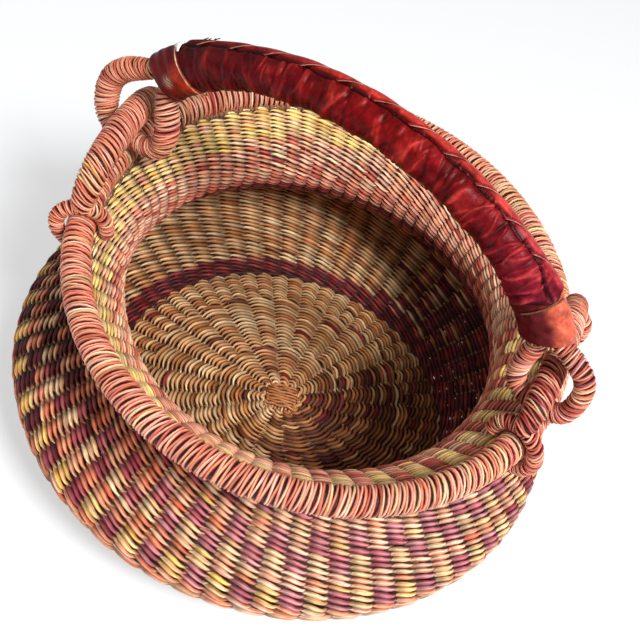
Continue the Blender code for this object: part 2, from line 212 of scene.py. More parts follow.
def add_mesh(name, part, verts, quads, caps, tint, fibre, uv):
    """A smooth mesh with a colour, a place along its fibres and a bake map. part is the piece's body, the CAD nodes
    that it stands for, its material slot, which is not used, and its finish."""
    body, nodes, slot, finish = part
    me = bpy.data.meshes.new(name)
    me.vertices.add(len(verts))
    me.vertices.foreach_set("co", np.ascontiguousarray(verts, np.float32).ravel())
    cap_sides = caps.shape[1] if len(caps) else 0
    loops = np.concatenate([quads.ravel(), caps.ravel()]).astype(np.int32)
    me.loops.add(len(loops))
    me.loops.foreach_set("vertex_index", loops)
    me.polygons.add(len(quads) + len(caps))
    starts = np.concatenate([np.arange(len(quads)) * 4, len(quads) * 4 + np.arange(len(caps)) * cap_sides])
    me.polygons.foreach_set("loop_start", starts.astype(np.int32))
    me.update(calc_edges=True)
    me.polygons.foreach_set("use_smooth", np.ones(len(me.polygons), bool))
    colour = me.attributes.new("tint", "FLOAT_COLOR", "POINT")
    colour.data.foreach_set("color", np.concatenate([tint, np.ones((len(tint), 1))], 1).astype(np.float32).ravel())
    way = me.attributes.new("fibre", "FLOAT_VECTOR", "POINT")
    way.data.foreach_set("vector", np.ascontiguousarray(fibre, np.float32).ravel())
    full = np.zeros((len(loops), 2), np.float32)
    full[:len(uv)] = uv
    me.uv_layers.new(name="OFBake").data.foreach_set("uv", full.ravel())
    me.materials.append(finish)
    item = bpy.data.objects.new(name, me)
    bpy.context.collection.objects.link(item)
    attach(item, body)
    if nodes:
        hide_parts(*nodes)


def strands(name, part, centres, out, half_width, half_depth, sides, closed, tints, along, strips, two_faced=False):
    """Tubes with flat oval sections. centres and out are (strands, points, 3), half sizes (strands, points).
    tints are the colours of the crest, the flanks and the underside. strips is the number of points per bake strip.
    A two-faced strand shows its crest on both sides."""
    count, points = centres.shape[:2]
    way = unit(np.roll(centres, -1, 1) - np.roll(centres, 1, 1) if closed else np.gradient(centres, axis=1))
    across = unit(np.cross(way, out))
    out = np.cross(across, way)
    turn = TAU * (np.arange(sides) + 0.5) / sides
    c, s = np.cos(turn), np.sin(turn)
    half_width, half_depth, along = np.broadcast_arrays(half_width, half_depth, along, np.empty((count, points)))[:3]
    verts = (centres[:, :, None] + half_width[:, :, None, None] * c[:, None] * across[:, :, None]
             + half_depth[:, :, None, None] * s[:, None] * out[:, :, None])
    crest, flank, under = (np.broadcast_to(v, centres.shape)[:, :, None] for v in tints)
    # Outward faces take the crest colour, the sides the flank colour and inward faces the underside colour: a paler
    # crest is partly a painted highlight, and darker flanks and underside are partly painted shade.
    share = np.clip(np.abs(s) if two_faced else s, 0, 1)[:, None] ** CREST_SHARPNESS
    low = np.clip(-s, 0, 0 if two_faced else 1)[:, None]
    tint = blend(blend(flank, crest, share), under, low)
    fibre = np.stack(np.broadcast_arrays(along[:, :, None], half_width[:, :, None] * c, half_depth[:, :, None] * s), -1)
    index = np.arange(count * points * sides).reshape(count, points, sides)
    rings = points if closed else points - 1
    here, there = index[:, :rings], np.roll(index, -1, 1)[:, :rings]
    quads = np.stack([here, there, np.roll(there, -1, 2), np.roll(here, -1, 2)], -1).reshape(-1, 4)
    caps = np.zeros((0, sides), int) if closed else np.concatenate([index[:, 0], index[:, -1, ::-1]])
    per = -(-rings // strips)
    total = count * per
    columns = math.ceil(math.sqrt(total * STRIP_SHAPE)) if total > MANY_STRIPS else 1
    tall = -(-total // columns)
    ring = np.arange(rings)
    strip = (np.arange(count)[:, None] * per + ring // strips)[:, :, None]
    column, row = strip // tall, strip % tall
    u0 = (ring % strips)[None, :, None] / strips
    v0 = np.arange(sides)[None, None, :] / sides
    edge_u, edge_v = STRIP_MARGINS

    def place(u, v):
        u, v = (column + edge_u + (1 - 2 * edge_u) * u) / columns, (row + edge_v + (1 - 2 * edge_v) * v) / tall
        return np.stack(np.broadcast_arrays(u, v), -1)

    u1, v1 = u0 + 1 / strips, v0 + 1 / sides
    uv = np.stack([place(u0, v0), place(u1, v0), place(u1, v1), place(u0, v1)], 3).reshape(-1, 2)
    add_mesh(name, part, verts.reshape(-1, 3), quads, caps, tint.reshape(-1, 3), fibre.reshape(-1, 3), uv)


def ripple(shape, knots, points):
    """Smooth random values from -1 to 1 along each closed strand: one per knot, with soft steps between them."""
    values = spread((*shape, knots))
    place = np.arange(points) * knots / points
    i = place.astype(int)
    f = smooth(place - i)
    return blend(values[..., i % knots], values[..., (i + 1) % knots], f)


# Dyes, as linear colours: crest, second crest, flank. The pale crests are partly the dye and partly a painted
# highlight, and the dark flanks partly the dye and partly painted shade between neighbouring strands.
DYES = {
    "peach": ((0.96, 0.56, 0.31), (0.86, 0.25, 0.11), (0.36, 0.026, 0.008)),
    "apricot": ((0.98, 0.78, 0.54), (0.96, 0.50, 0.28), (0.60, 0.09, 0.030)),
    "lemon": ((0.97, 0.84, 0.50), (0.97, 0.66, 0.22), (0.60, 0.24, 0.05)),
    "mauve": ((0.66, 0.20, 0.24), (0.82, 0.40, 0.40), (0.22, 0.020, 0.035)),
    "salmon": ((0.86, 0.29, 0.16), (0.95, 0.54, 0.31), (0.30, 0.016, 0.008)),
    "yellow": ((0.97, 0.66, 0.16), (0.97, 0.80, 0.40), (0.46, 0.15, 0.018)),
    "pale": ((0.98, 0.86, 0.44), (0.98, 0.76, 0.26), (0.80, 0.44, 0.09)),
    "plum": ((0.42, 0.05, 0.075), (0.66, 0.20, 0.20), (0.09, 0.004, 0.008)),
    "maroon": ((0.11, 0.007, 0.012), (0.26, 0.03, 0.04), (0.035, 0.002, 0.004)),
    "wine": ((0.24, 0.014, 0.016), (0.45, 0.07, 0.06), (0.08, 0.004, 0.004)),
    "tan": ((0.90, 0.55, 0.26), (0.70, 0.27, 0.08), (0.20, 0.038, 0.007)),
    "straw": ((0.95, 0.72, 0.40), (0.86, 0.48, 0.18), (0.32, 0.085, 0.016)),
    "brown": ((0.52, 0.18, 0.05), (0.68, 0.30, 0.10), (0.11, 0.020, 0.005)),
    "blush": ((0.97, 0.68, 0.48), (0.90, 0.31, 0.18), (0.44, 0.040, 0.020)),
    "rose": ((0.55, 0.10, 0.075), (0.80, 0.28, 0.17), (0.22, 0.012, 0.008)),
    "cream": ((0.97, 0.78, 0.50), (0.95, 0.62, 0.32), (0.46, 0.17, 0.04)),
    "umber": ((0.20, 0.055, 0.018), (0.36, 0.12, 0.04), (0.05, 0.008, 0.003)),
}
DYE_NUMBERS = {name: number for number, name in enumerate(DYES)}
DYE_TABLE = np.array(list(DYES.values()))
# The underside's painted shade: a share of the flank colour, plus a near-black
UNDERSIDE_SHADE_SHARE = 0.35
UNDERSIDE_SHADE_COLOUR = np.array((0.007, 0.0015, 0.0015))


def choose(shape, **weights):
    """Random dye numbers: each keyword names a dye and gives its weight, one number or an array."""
    parts = np.stack([np.broadcast_to(np.asarray(w, float), shape) for w in weights.values()])
    steps = np.cumsum(parts, 0) / np.sum(parts, 0)
    picked = np.sum(RNG.uniform(0, 1, shape)[None] > steps[:-1], 0)
    return np.array([DYE_NUMBERS[name] for name in weights])[picked]


def within(x, low, high, edge):
    """One where an angle in radians lies between two in degrees, nought beyond them, with a soft edge in degrees."""
    low, high, edge = radians(low), radians(high), radians(edge)
    middle, half = (low + high) / 2, (high - low) / 2
    return 1 - smooth((np.abs(away(x, middle)) - half + edge) / edge)


def dyed(numbers, share, value):
    """Crest, flank and underside colours for dye numbers, shares of the second crest and brightness values. The
    underside is the flank taken towards black as painted shade, and twine's brightness values also carry painted shade.
    """
    first, second, edge = (DYE_TABLE[numbers, k] for k in range(3))
    mix = np.clip(share, 0, 1)[..., None]
    value = value[..., None]
    return blend(first, second, mix) * value, edge * value, (edge * UNDERSIDE_SHADE_SHARE + UNDERSIDE_SHADE_COLOUR) * value


# Twined rows

SIDES = 6
STEPS = 6
AMPLITUDE = 0.0015
BORDER_AMPLITUDE = 0.0014
AMPLITUDE_CHANCE = 0.12
LEAD_LIFT = 0.12
LATENESS = 0.30
SLANT = 0.40
WANDER = 0.13
ARCH_LEVEL = 0.6
PLUMP = 0.52
END_WIDTH, END_CURVE = 0.84, 0.6
LEAD_TAPER, LEAD_CURVE = 0.45, 1.5
STRAND_DEPTH = 0.00095
END_DEPTH = 0.25
WIDTH_CHANCE, DEPTH_CHANCE = 0.12, 0.1
DRIFT_KNOTS = 9
SHARE_MIDDLE, SHARE_DRIFT, SHARE_CHANCE = 0.38, 0.42, 0.55
BRIGHTNESS_CHANCE = 0.24
# Painted shade where strands come out from behind a stake, deeper on the outside's shaded side
CROSSING_SHADE = 0.5
SHADED_SIDE_SHADE = 0.93
LEAD_LIGHT = 0.55
SHADE_CURVE = 0.75
ROW_LENGTH, STRAND_SHARE = 3.1, 0.37
PROBE = 0.001


def twine(name, part, skin_at, start, end, rows, stakes, dyes, amplitude=AMPLITUDE, arch=0.0, plump=PLUMP, dark=CROSSING_SHADE):
    """Rows of two strands that twist about each other and pass to either side of each stake.
    dyes(row, strand, az, inside) gives the dye numbers of the segments between stakes. dark is how far the strands
    are darkened, as painted shade, where they come out from behind a stake; more shade is painted on the outside's
    shaded side."""
    points = stakes * STEPS
    place = np.arange(points) / STEPS
    pitch = (end - start) / rows
    row = np.arange(rows)[:, None, None]
    strand = np.arange(2)[None, :, None]
    turn = math.pi * (place + strand)
    front = np.cos(turn)
    side, near = np.sign(np.round(front, 6)), np.abs(front)
    lead = np.sin(turn) * np.where(front >= 0, 1, -1)
    ahead = np.clip(lead, 0, 1)
    late = np.abs(np.cos(np.arcsin(np.clip(lead, -1, 1)) - LATENESS * near))
    az = (place + 0.5) * TAU / stakes + np.zeros((rows, 2, 1))
    column = (np.floor(place + 0.5 + 1e-9) % stakes).astype(int)
    rows_at, strands_at, segment = np.indices((rows, 2, stakes))
    inside = (segment + strands_at) % 2 == 1
    numbers = dyes(rows_at, strands_at, (segment + 0.5) * TAU / stakes, inside)

    def chance():
        return spread(inside.shape)[..., column]

    share = SHARE_MIDDLE + SHARE_DRIFT * ripple((rows, 2), DRIFT_KNOTS, points) + SHARE_CHANCE * chance()
    # Painted shade: darker where the strands come out from behind a stake, and more so on the outside's shaded side
    deep = dark + (SHADED_SIDE_SHADE - dark) * within(az, *SHADED_SIDE) * (front >= 0)
    lit = 1 - deep * (1 - np.clip(near + LEAD_LIGHT * lead, 0, 1)) ** SHADE_CURVE
    value = (1 + BRIGHTNESS_CHANCE * chance()) * lit
    plumpness = chance()
    wander = WANDER * ripple((rows, 2), stakes // 2, points)
    height = start + pitch * (row + 0.5 - SLANT * np.sin(turn) + arch * (near - ARCH_LEVEL) + wander)
    swing = 1 + AMPLITUDE_CHANCE * ripple((rows, 2), stakes, points)
    offset = amplitude * (side * late ** 0.5 + LEAD_LIFT * ahead * near) * swing
    centres = skin_at(az, height, offset)
    out = unit(skin_at(az, height, offset + PROBE) - centres)
    ends = END_WIDTH + (1 - END_WIDTH) * near ** END_CURVE
    half_width = plump * pitch * ends * (1 - LEAD_TAPER * ahead ** LEAD_CURVE) * (1 + WIDTH_CHANCE * plumpness)
    half_depth = STRAND_DEPTH * (1 + END_DEPTH * (1 - near)) * (1 + DEPTH_CHANCE * plumpness)
    along = np.linalg.norm(np.roll(centres, -1, 2) - centres, axis=-1).cumsum(-1)
    along = along + ROW_LENGTH * (row + STRAND_SHARE * strand)
    centres, out, half_width, half_depth, along, *tints = (
        a.reshape(rows * 2, points, *a.shape[3:])
        for a in (centres, out, half_width, half_depth, along, *dyed(numbers[..., column], share, value)))
    strands(name, part, centres, out, half_width, half_depth, SIDES, True, tints, along, points, True)


STAKE_DEPTH = 0.0005
STAKE_FILL = 1.12
STAKE_STAGGER = 0.0002
# Near-black stakes: painted shade in the gaps between rows
STAKE_SHADE = np.array((0.022, 0.006, 0.004))
STAKE_CHANCE = 0.5
PINHOLE_SIDE = (-45, 75, 10)
PINHOLE_SHARE = 0.38
PINHOLE_WIDTH = 0.65


def make_stakes(name, part, skin_at, start, end, count, steps, pinholes):
    """Flat stakes behind the twined rows, almost as wide as their spacing and coloured near black as painted shade in
    the gaps between rows. Where they narrow, light comes in.
    """
    place = np.linspace(start, end, steps + 1)[None] + np.zeros((count, 1))
    az = np.arange(count)[:, None] * TAU / count + 0 * place
    centres = skin_at(az, place, STAKE_STAGGER * (-1.0) ** np.arange(count)[:, None] + 0 * az)
    out = unit(skin_at(az, place, 0 * az + PROBE) - centres)
    half = STAKE_FILL * math.pi * np.hypot(centres[..., 0], centres[..., 1]) / count
    if pinholes:
        lit = within(az, *PINHOLE_SIDE) * (RNG.uniform(0, 1, half.shape) < PINHOLE_SHARE)
        half = half * (1 - PINHOLE_WIDTH * lit)
    shade = STAKE_SHADE * (1 + STAKE_CHANCE * spread((count, 1, 1)))
    strands(name, part, centres, out, half, STAKE_DEPTH, SIDES, False, [shade] * 3, place, steps)


# Materials

def feed(tree, made, key, value):
    """Sets a node's input to a value, or links it to another node's output."""
    if isinstance(value, bpy.types.NodeSocket):
        tree.links.new(value, made.inputs[key])
    else:
        made.inputs[key].default_value = value


def node(tree, kind, *first, **values):
    """A node with its first inputs in their order, and with properties and other inputs by name."""
    made = tree.nodes.new(kind)
    for key, value in enumerate(first):
        feed(tree, made, key, value)
    for key, value in values.items():
        if hasattr(made, key):
            setattr(made, key, value)
        else:
            feed(tree, made, key.replace("_", " "), value)
    return made


def dress(tree, shader, **values):
    for key, value in values.items():
        feed(tree, shader, key.replace("_", " "), value)


def new_material(name):
    made = bpy.data.materials.new(name)
    made.use_nodes = True
    return made, made.node_tree, made.node_tree.nodes["Principled BSDF"]


def ranged(tree, source, low, high, start=0.3, end=0.7):
    """A value rescaled from start..end to low..high."""
    return node(tree, "ShaderNodeMapRange", source, From_Min=start, From_Max=end, To_Min=low, To_Max=high).outputs[0]


def scaled_noise(tree, source, scale, detail):
    """Noise over a vector stretched by three factors."""
    stretched = node(tree, "ShaderNodeVectorMath", source, scale, operation="MULTIPLY").outputs[0]
    noise = node(tree, "ShaderNodeTexNoise", Vector=stretched, Scale=1.0, Detail=detail, Roughness=0.6)
    return noise.outputs["Fac"]


def painted(tree, shader, factors, stain=None):
    """The piece's own colour times some factors, and its green and blue also times the stain."""
    tint = node(tree, "ShaderNodeAttribute", attribute_name="tint").outputs["Color"]
    if stain:
        parts = node(tree, "ShaderNodeCombineXYZ", 1.0, stain, stain).outputs[0]
        tint = node(tree, "ShaderNodeVectorMath", tint, parts, operation="MULTIPLY").outputs[0]
    for factor in factors:
        tint = node(tree, "ShaderNodeVectorMath", tint, operation="SCALE", Scale=factor).outputs[0]
    dress(tree, shader, Base_Color=tint)


def bumped(tree, shader, layers):
    """Bumps, each a height, a strength and a distance, laid over one another."""
    under = {}
    for height, strength, distance in layers:
        bump = node(tree, "ShaderNodeBump", Height=height, Strength=strength, Distance=distance, **under)
        under = {"Normal": bump.outputs[0]}
    dress(tree, shader, **under)


# Noise scales of the grass, along a strand and twice across it, and of the hide
FINE_SCALE = (110.0, 3200.0, 3200.0)
STREAK_SCALE = (70.0, 1300.0, 1300.0)
BLOT_SCALE = (190.0, 300.0, 300.0)
CLOUD_SCALE = (150.0, 150.0, 150.0)
SCUFF_SCALE = (420.0, 420.0, 420.0)
GRAIN_SCALE = 1500.0
HIDE_SHINE = (1.0, 0.34, 0.34, 1)


def grass_material(name, streak, sheen, rough, red):
    """Dyed grass: the strand's colour with fine fibres and dye streaks along it, blots, and a low straw sheen."""
    made, tree, shader = new_material(name)
    way = node(tree, "ShaderNodeAttribute", attribute_name="fibre").outputs["Vector"]
    fine = scaled_noise(tree, way, FINE_SCALE, 3.0)
    dye = scaled_noise(tree, way, STREAK_SCALE, 2.0)
    blot = scaled_noise(tree, way, BLOT_SCALE, 3.0)
    factors = (ranged(tree, fine, 1 - streak, 1 + streak * 0.6), ranged(tree, dye, 1 - streak, 1 + streak * 0.5),
               ranged(tree, blot, 0.84, 1.12))
    painted(tree, shader, factors, ranged(tree, dye, 1 - red, 1.08, 0.32, 0.55))
    bumped(tree, shader, ((fine, 0.6, 0.0004), (dye, 0.5, 0.0006)))
    dress(tree, shader, Roughness=ranged(tree, fine, rough - 0.10, rough + 0.12), Sheen_Weight=sheen,
          Sheen_Roughness=0.4, Specular_IOR_Level=0.28)
    return made


def leather_material(name, rough, coat):
    """Glossy wrinkled hide: the piece's colour with fine grain, scuffs, cloudy dye and a worn polish."""
    made, tree, shader = new_material(name)
    place = node(tree, "ShaderNodeTexCoord").outputs["Object"]
    cloud = scaled_noise(tree, place, CLOUD_SCALE, 5.0)
    scuff = scaled_noise(tree, place, SCUFF_SCALE, 6.0)
    grain = node(tree, "ShaderNodeTexVoronoi", Vector=place, Scale=GRAIN_SCALE).outputs["Distance"]
    painted(tree, shader, (ranged(tree, cloud, 0.45, 1.55), ranged(tree, scuff, 0.80, 1.35, 0.4, 0.75)))
    bumped(tree, shader, ((grain, 0.25, 0.0003), (scuff, 0.35, 0.0004), (cloud, 0.5, 0.0007)))
    dress(tree, shader, Roughness=ranged(tree, cloud, rough - 0.08, rough + 0.14), Specular_IOR_Level=0.20,
          Specular_Tint=HIDE_SHINE, Coat_Weight=coat, Coat_Roughness=0.24)
    return made


GRASS = grass_material("dyed_grass_strands", 0.28, 0.04, 0.50, 0.42)
NATURAL = grass_material("natural_grass_strands", 0.34, 0.03, 0.54, 0.22)
WOUND = grass_material("wound_grass_strands", 0.28, 0.04, 0.48, 0.50)
HIDE = leather_material("wrinkled_hide", 0.38, 0.03)
CUFF_HIDE = leather_material("worn_cuff_hide", 0.42, 0.05)
THONG = leather_material("thong_hide", 0.50, 0.04)


# The weave

# The base's zones, outward: start, end, rows and stakes
BASE_ZONES = ((0.0115, 0.045, 11, 14), (0.045, 0.092, 15, 28), (0.092, 0.1185, 9, 56))
BASE_ARCH = 0.55
# Painted shade at the base's crossings
BASE_CROSSING_SHADE = 0.35
BASE_STAKES_START = 0.008
BASE_EDGE_AT, BASE_EDGE_RISE, BASE_EDGE_STEPS = 0.1186, 0.0012, 180
# The dark wine ring in the corner between base and border: its near-black tone is painted shade
BASE_EDGE_SHADE = np.array((0.05, 0.006, 0.006))
BORDER_ROWS = 4
LOWER_ROWS = 20
UNDYED_ROWS = 12
UPPER_ROWS = 19
NECK_ROWS = 6
NECK_WINE_ROWS = 3
COLLAR_ROWS = 17
LOWER_STAKES = 60
UPPER_STAKES = 80
COLLAR_TOP = COLLAR_END + 0.0012
COLLAR_PLUMP = 0.55
# Painted shade at the collar's crossings
COLLAR_CROSSING_SHADE = 0.30
FILLER_AT = COLLAR_END + 0.0025
FILLER_TURNS = 240
FILLER_DYE = np.array((0.80, 0.36, 0.17))

# Parts of the way round, in degrees: from, to and how soft their edges are
YELLOW_SIDE = (60, 230, 70)
# The inside's right, darker red: partly dye and partly painted shade
SHADED_RED_SIDE = (-85, 98, 38)
# The outside's shaded side, where darker strands are partly painted shade
SHADED_SIDE = (135, 262, 40)
# The sunny side, where paler dyes are painted light
SUNNY_SIDE = (-100, 20, 35)
COLLAR_FRONT = (285, 395, 25)
COLLAR_BACK = (15, 80, 20)
# The base's right, dark brown: mostly painted shade
BASE_SHADED_SIDE = (-80, 85, 60)
RIM_PALE_SIDE = (0, 95, 35)
RIM_LEFT_SIDE = (150, 262, 30)

UPPER_TIERS = (("peach", "peach", 1), ("yellow", "plum", 3), ("peach", "peach", 3), ("cream", "plum", 3),
               ("plum", "peach", 4), ("peach", "peach", 2), ("peach", "plum", 3))
# Plain dyes and the paler ones that replace them on the sunny side, as painted light
PAINTED_SUNLIGHT_DYES = (("peach", "apricot"), ("yellow", "lemon"), ("plum", "mauve"), ("salmon", "peach"))


def outer_dye(tiers, row, strand, az):
    """The dyes of the wall's outside: checks in tiers on peach, with strays. The shaded side gets more dark strands,
    partly as painted shade, and the sunny side paler dyes as painted light.
    """
    named = np.full(row.shape, "peach", object)
    first = 0
    for even, odd, rows in tiers:
        here = (row >= first) & (row < first + rows)
        named[here] = np.where(strand == 0, even, odd)[here]
        first += rows
    numbers = np.vectorize(DYE_NUMBERS.get)(named)
    # More maroon and dark strands on the shaded side: partly dye and partly painted shade
    shade = within(az, *SHADED_SIDE)
    dark = (named == "plum") & (RNG.uniform(0, 1, row.shape) < shade)
    numbers = np.where(dark, DYE_NUMBERS["maroon"], numbers)
    stray = RNG.uniform(0, 1, row.shape)
    swap = choose(row.shape, salmon=0.7 + 0.4 * shade, yellow=0.2, cream=0.6 * (1 - shade), maroon=1.5 * shade)
    numbers = np.where((stray < 0.20 + 0.12 * shade) & (named == "peach"), swap, numbers)
    # Paler dyes on the sunny side: painted light
    sunny = within(az, *SUNNY_SIDE) > RNG.uniform(0, 1, row.shape)
    for plain, bright in PAINTED_SUNLIGHT_DYES:
        numbers = np.where(sunny & (numbers == DYE_NUMBERS[plain]), DYE_NUMBERS[bright], numbers)
    return numbers


def inner_dye(row, az, top_rows, rows):
    """The wall's inside: natural grass that runs to dark red on the right, partly dye and partly painted shade, with a
    wine band under the neck.
    """
    # Darker reds on the right: partly dye and partly painted shade
    red = within(az, *SHADED_RED_SIDE)
    numbers = choose(row.shape, tan=0.75 * (1 - red), straw=0.45 * (1 - red), brown=0.30 * (1 - 0.7 * red),
                     wine=0.65 * red, maroon=0.80 * red)
    band = choose(row.shape, rose=0.8 * (1 - red), wine=0.7, maroon=0.9 * red)
    return np.where(row >= rows - top_rows, band, numbers)


def upper_dyes(first):
    def dyes(row, strand, az, inside):
        outside = outer_dye(UPPER_TIERS, row + first, strand, az)
        return np.where(inside, inner_dye(row + first, az, 3, UPPER_ROWS), outside)
    return dyes


def lower_dyes(row, strand, az, inside):
    natural = choose(row.shape, tan=1.0, straw=0.6, brown=0.3)
    outside = np.where(row < UNDYED_ROWS, natural, outer_dye((), row, strand, az))
    return np.where(inside, inner_dye(row, az, 0, LOWER_ROWS), outside)


def border_dyes(row, strand, az, inside):
    return choose(row.shape, wine=1.0, rose=0.35 * (row >= BORDER_ROWS - 1), maroon=0.3)


def neck_dyes(row, strand, az, inside):
    # More rose and maroon on the right: partly dye and partly painted shade
    red = within(az, *SHADED_RED_SIDE)
    upper = choose(row.shape, blush=1.0 - 0.6 * red, salmon=0.4, rose=0.9 * red)
    lower = choose(row.shape, wine=1.0, rose=0.7 * (1 - red), maroon=0.6 * red)
    return np.where(row >= NECK_WINE_ROWS, upper, lower)


def collar_dyes(row, strand, az, inside):
    """Yellow above and blush below, mixed with rose strand by strand round the front and right."""
    front, back, left = (within(az, *side) for side in (COLLAR_FRONT, COLLAR_BACK, YELLOW_SIDE))
    height = smooth((row - 9.0 + 3.0 * left + 5.0 * front + RNG.uniform(-1.2, 1.2, row.shape)) / 3.0)
    first = front * (strand == 0)
    yellow = height * (1 - first) * (1 - 0.5 * back)
    return choose(row.shape, pale=yellow * (1.3 - 0.5 * left), yellow=yellow * (0.2 + 0.6 * left),
                  cream=yellow * 0.2 + 0.10, blush=(1.0 - 0.95 * yellow) * (0.35 + 0.65 * front),
                  apricot=(0.7 - 0.65 * yellow) * (1 - front), salmon=0.22 * (1 - yellow),
                  rose=0.8 * first + 0.10 * (1 - height) + 0.2 * back * (1 - yellow))


def base_dyes(row, strand, az, inside):
    """Natural grass that runs to dark brown on the right: mostly painted shade, with a little redder brown."""
    red = within(az, *BASE_SHADED_SIDE)
    return choose(row.shape, straw=0.60 * (1 - red), tan=1.0 - 0.85 * red, brown=0.35 + 0.55 * red,
                  umber=0.06 + 1.10 * red, wine=0.02 + 0.12 * red, maroon=0.12 * red)


def on_basket(node_name, slot, finish=GRASS):
    return "basket", [node_name], slot, finish


def upright(points):
    out = np.zeros_like(points)
    out[..., 2] = 1
    return out


# The crossed start of the base: label, height, turn, dye, half length and count of each layer
CENTRE_LAYERS = (("under", 0.0037, math.pi / 2, "tan", 0.0135, 11), ("over", 0.0057, 0.0, "brown", 0.0105, 8))
CENTRE_TURN = radians(24)
CENTRE_PITCH = 0.0024
CENTRE_WIDTH = 0.46
CENTRE_DEPTH = 0.0010
CENTRE_DIP = 0.0016
CENTRE_WAVE = 0.0003
CENTRE_STEPS = 16


def make_centre():
    """The start of the base: brown strands laid over tan ones that cross under them."""
    k = np.linspace(-1, 1, CENTRE_STEPS + 1)[None]
    for label, height, turned, dye, reach, count in CENTRE_LAYERS:
        number = np.arange(count)[:, None]
        aside = (number - (count - 1) / 2) * CENTRE_PITCH * (1 + 0.06 * np.cos(7 * k + 2 * number))
        length = reach * (1 + 0.05 * np.sin(5 * number)) * k
        c, s = math.cos(CENTRE_TURN + turned), math.sin(CENTRE_TURN + turned)
        rise = height - CENTRE_DIP * np.abs(k) ** 6 + CENTRE_WAVE * np.sin(4 * k + number)
        centres = np.stack([length * c - aside * s, length * s + aside * c, rise], -1)
        shape = length.shape
        tints = dyed(np.full(shape, DYE_NUMBERS[dye]), 0.45 + 0.5 * spread(shape),
                     1 + 0.2 * spread((count, 1)) + np.zeros(shape))
        width = CENTRE_PITCH * CENTRE_WIDTH * (1.1 - 0.5 * np.abs(k) ** 4)
        strands(f"base_centre_{label}", on_basket("base_cross", "wine_grass"), centres, upright(centres), width,
                CENTRE_DEPTH, 8, False, tints, length + number, CENTRE_STEPS)


def make_weave():
    for number, (start, end, rows, count) in enumerate(BASE_ZONES):
        twine(f"base_weave_{number + 1}", on_basket("base_disc", "natural_grass", NATURAL), floor_skin, start, end, rows,
              count, base_dyes, arch=BASE_ARCH, dark=BASE_CROSSING_SHADE)
    # A near-black ring in the corner under the border: painted shade
    az = np.linspace(0, TAU, BASE_EDGE_STEPS + 1)[:-1]
    ring = floor_skin(az, BASE_EDGE_AT, -BASE_EDGE_RISE)[None]
    strands("base_edge_filler", on_basket("base_disc", "wine_grass"), ring, upright(ring), 0.0020, 0.0018, 8, True,
            [BASE_EDGE_SHADE] * 3, az[None], BASE_EDGE_STEPS)
    half = UPPER_ROWS // 2
    middle = BELLY_AT + (BAND_AT - BELLY_AT) * half / UPPER_ROWS
    twine("border_weave", on_basket("base_border", "wine_grass"), skin, 0.0, BORDER_WIDTH, BORDER_ROWS, LOWER_STAKES,
          border_dyes, amplitude=BORDER_AMPLITUDE)
    twine("lower_wall_weave", on_basket("wall", "dyed_grass", NATURAL), skin, BORDER_WIDTH, BELLY_AT, LOWER_ROWS,
          LOWER_STAKES, lower_dyes)
    twine("belly_weave", on_basket("wall", "dyed_grass"), skin, BELLY_AT, middle, half, UPPER_STAKES, upper_dyes(0))
    twine("shoulder_weave", on_basket("wall", "dyed_grass"), skin, middle, BAND_AT, UPPER_ROWS - half, UPPER_STAKES,
          upper_dyes(half))
    twine("neck_weave", on_basket("neck_band", "wine_grass"), skin, BAND_AT, NECK_AT, NECK_ROWS, UPPER_STAKES, neck_dyes)
    twine("collar_weave", on_basket("collar", "yellow_grass"), skin, NECK_AT, COLLAR_TOP, COLLAR_ROWS, UPPER_STAKES,
          collar_dyes, plump=COLLAR_PLUMP, dark=COLLAR_CROSSING_SHADE)
    az = np.linspace(0, TAU, 8 * FILLER_TURNS + 1)[:-1]
    ring = skin(az, FILLER_AT, 0.0)[None]
    # Turns drawn in colour on a smooth tube: the dark between them and the darker flank and underside are painted shade
    crest = np.abs(np.sin(az * FILLER_TURNS / 2))[None] ** 0.6
    tint = FILLER_DYE * (0.06 + 0.94 * crest[..., None])
    strands("collar_filler", on_basket("rim_roll", "pink_grass"), ring, unit(ring * (1, 1, 0)), 0.0020 + 0.0006 * crest,
            0.0024, 8, True, [tint, tint * 0.5, tint * 0.2], az[None], 180)
    for name, node_name, skin_at, start, end, count, steps, pinholes in (
            ("lower_stakes", "wall", skin, 0.0, BELLY_AT, LOWER_STAKES, 24, True),
            ("upper_stakes", "wall", skin, BELLY_AT, BAND_AT, UPPER_STAKES, 24, True),
            ("collar_stakes", "collar", skin, BAND_AT, COLLAR_TOP + 0.003, UPPER_STAKES, 18, False),
            ("base_stakes", "base_disc", floor_skin, BASE_STAKES_START, BASE_RADIUS, 56, 12, False)):
        make_stakes(name, on_basket(node_name, "natural_grass", NATURAL), skin_at, start, end, count, steps, pinholes)
    make_centre()


# Wound strands

WIND_STEPS = 14
WIND_DEPTH = 0.0009
WIND_PITCH = 0.0020
FINE_PITCH = 0.0017
WIND_WIDTH, WIND_WIDTH_CHANCE = 0.44, 0.07
WIND_INSET, WIND_LIFT = 1.45, 0.5
LEAN_CHANCE = 0.5
PAIR_RATE = 1.5
MEET_CHANCE = 0.17
LIFT_SWING, LIFT_CHANCE = 0.30, 0.25
CORE_INSET = 1.9
CORE_SIDES = 16
# Near-black cores: painted shade in the gaps between turns
CORE_SHADE = np.array((0.030, 0.004, 0.003))


def carry(points, start=(0.0, 0.0, 1.0)):
    """Two directions across a path at each point, turned from one point to the next by the least amount."""
    way = unit(np.gradient(points, axis=0))
    across = np.empty_like(points)
    first = np.array(start, float)
    for i, w in enumerate(way):
        first = first - w * (first @ w)
        first = first / np.linalg.norm(first)
        across[i] = first
    return across, np.cross(across, way)


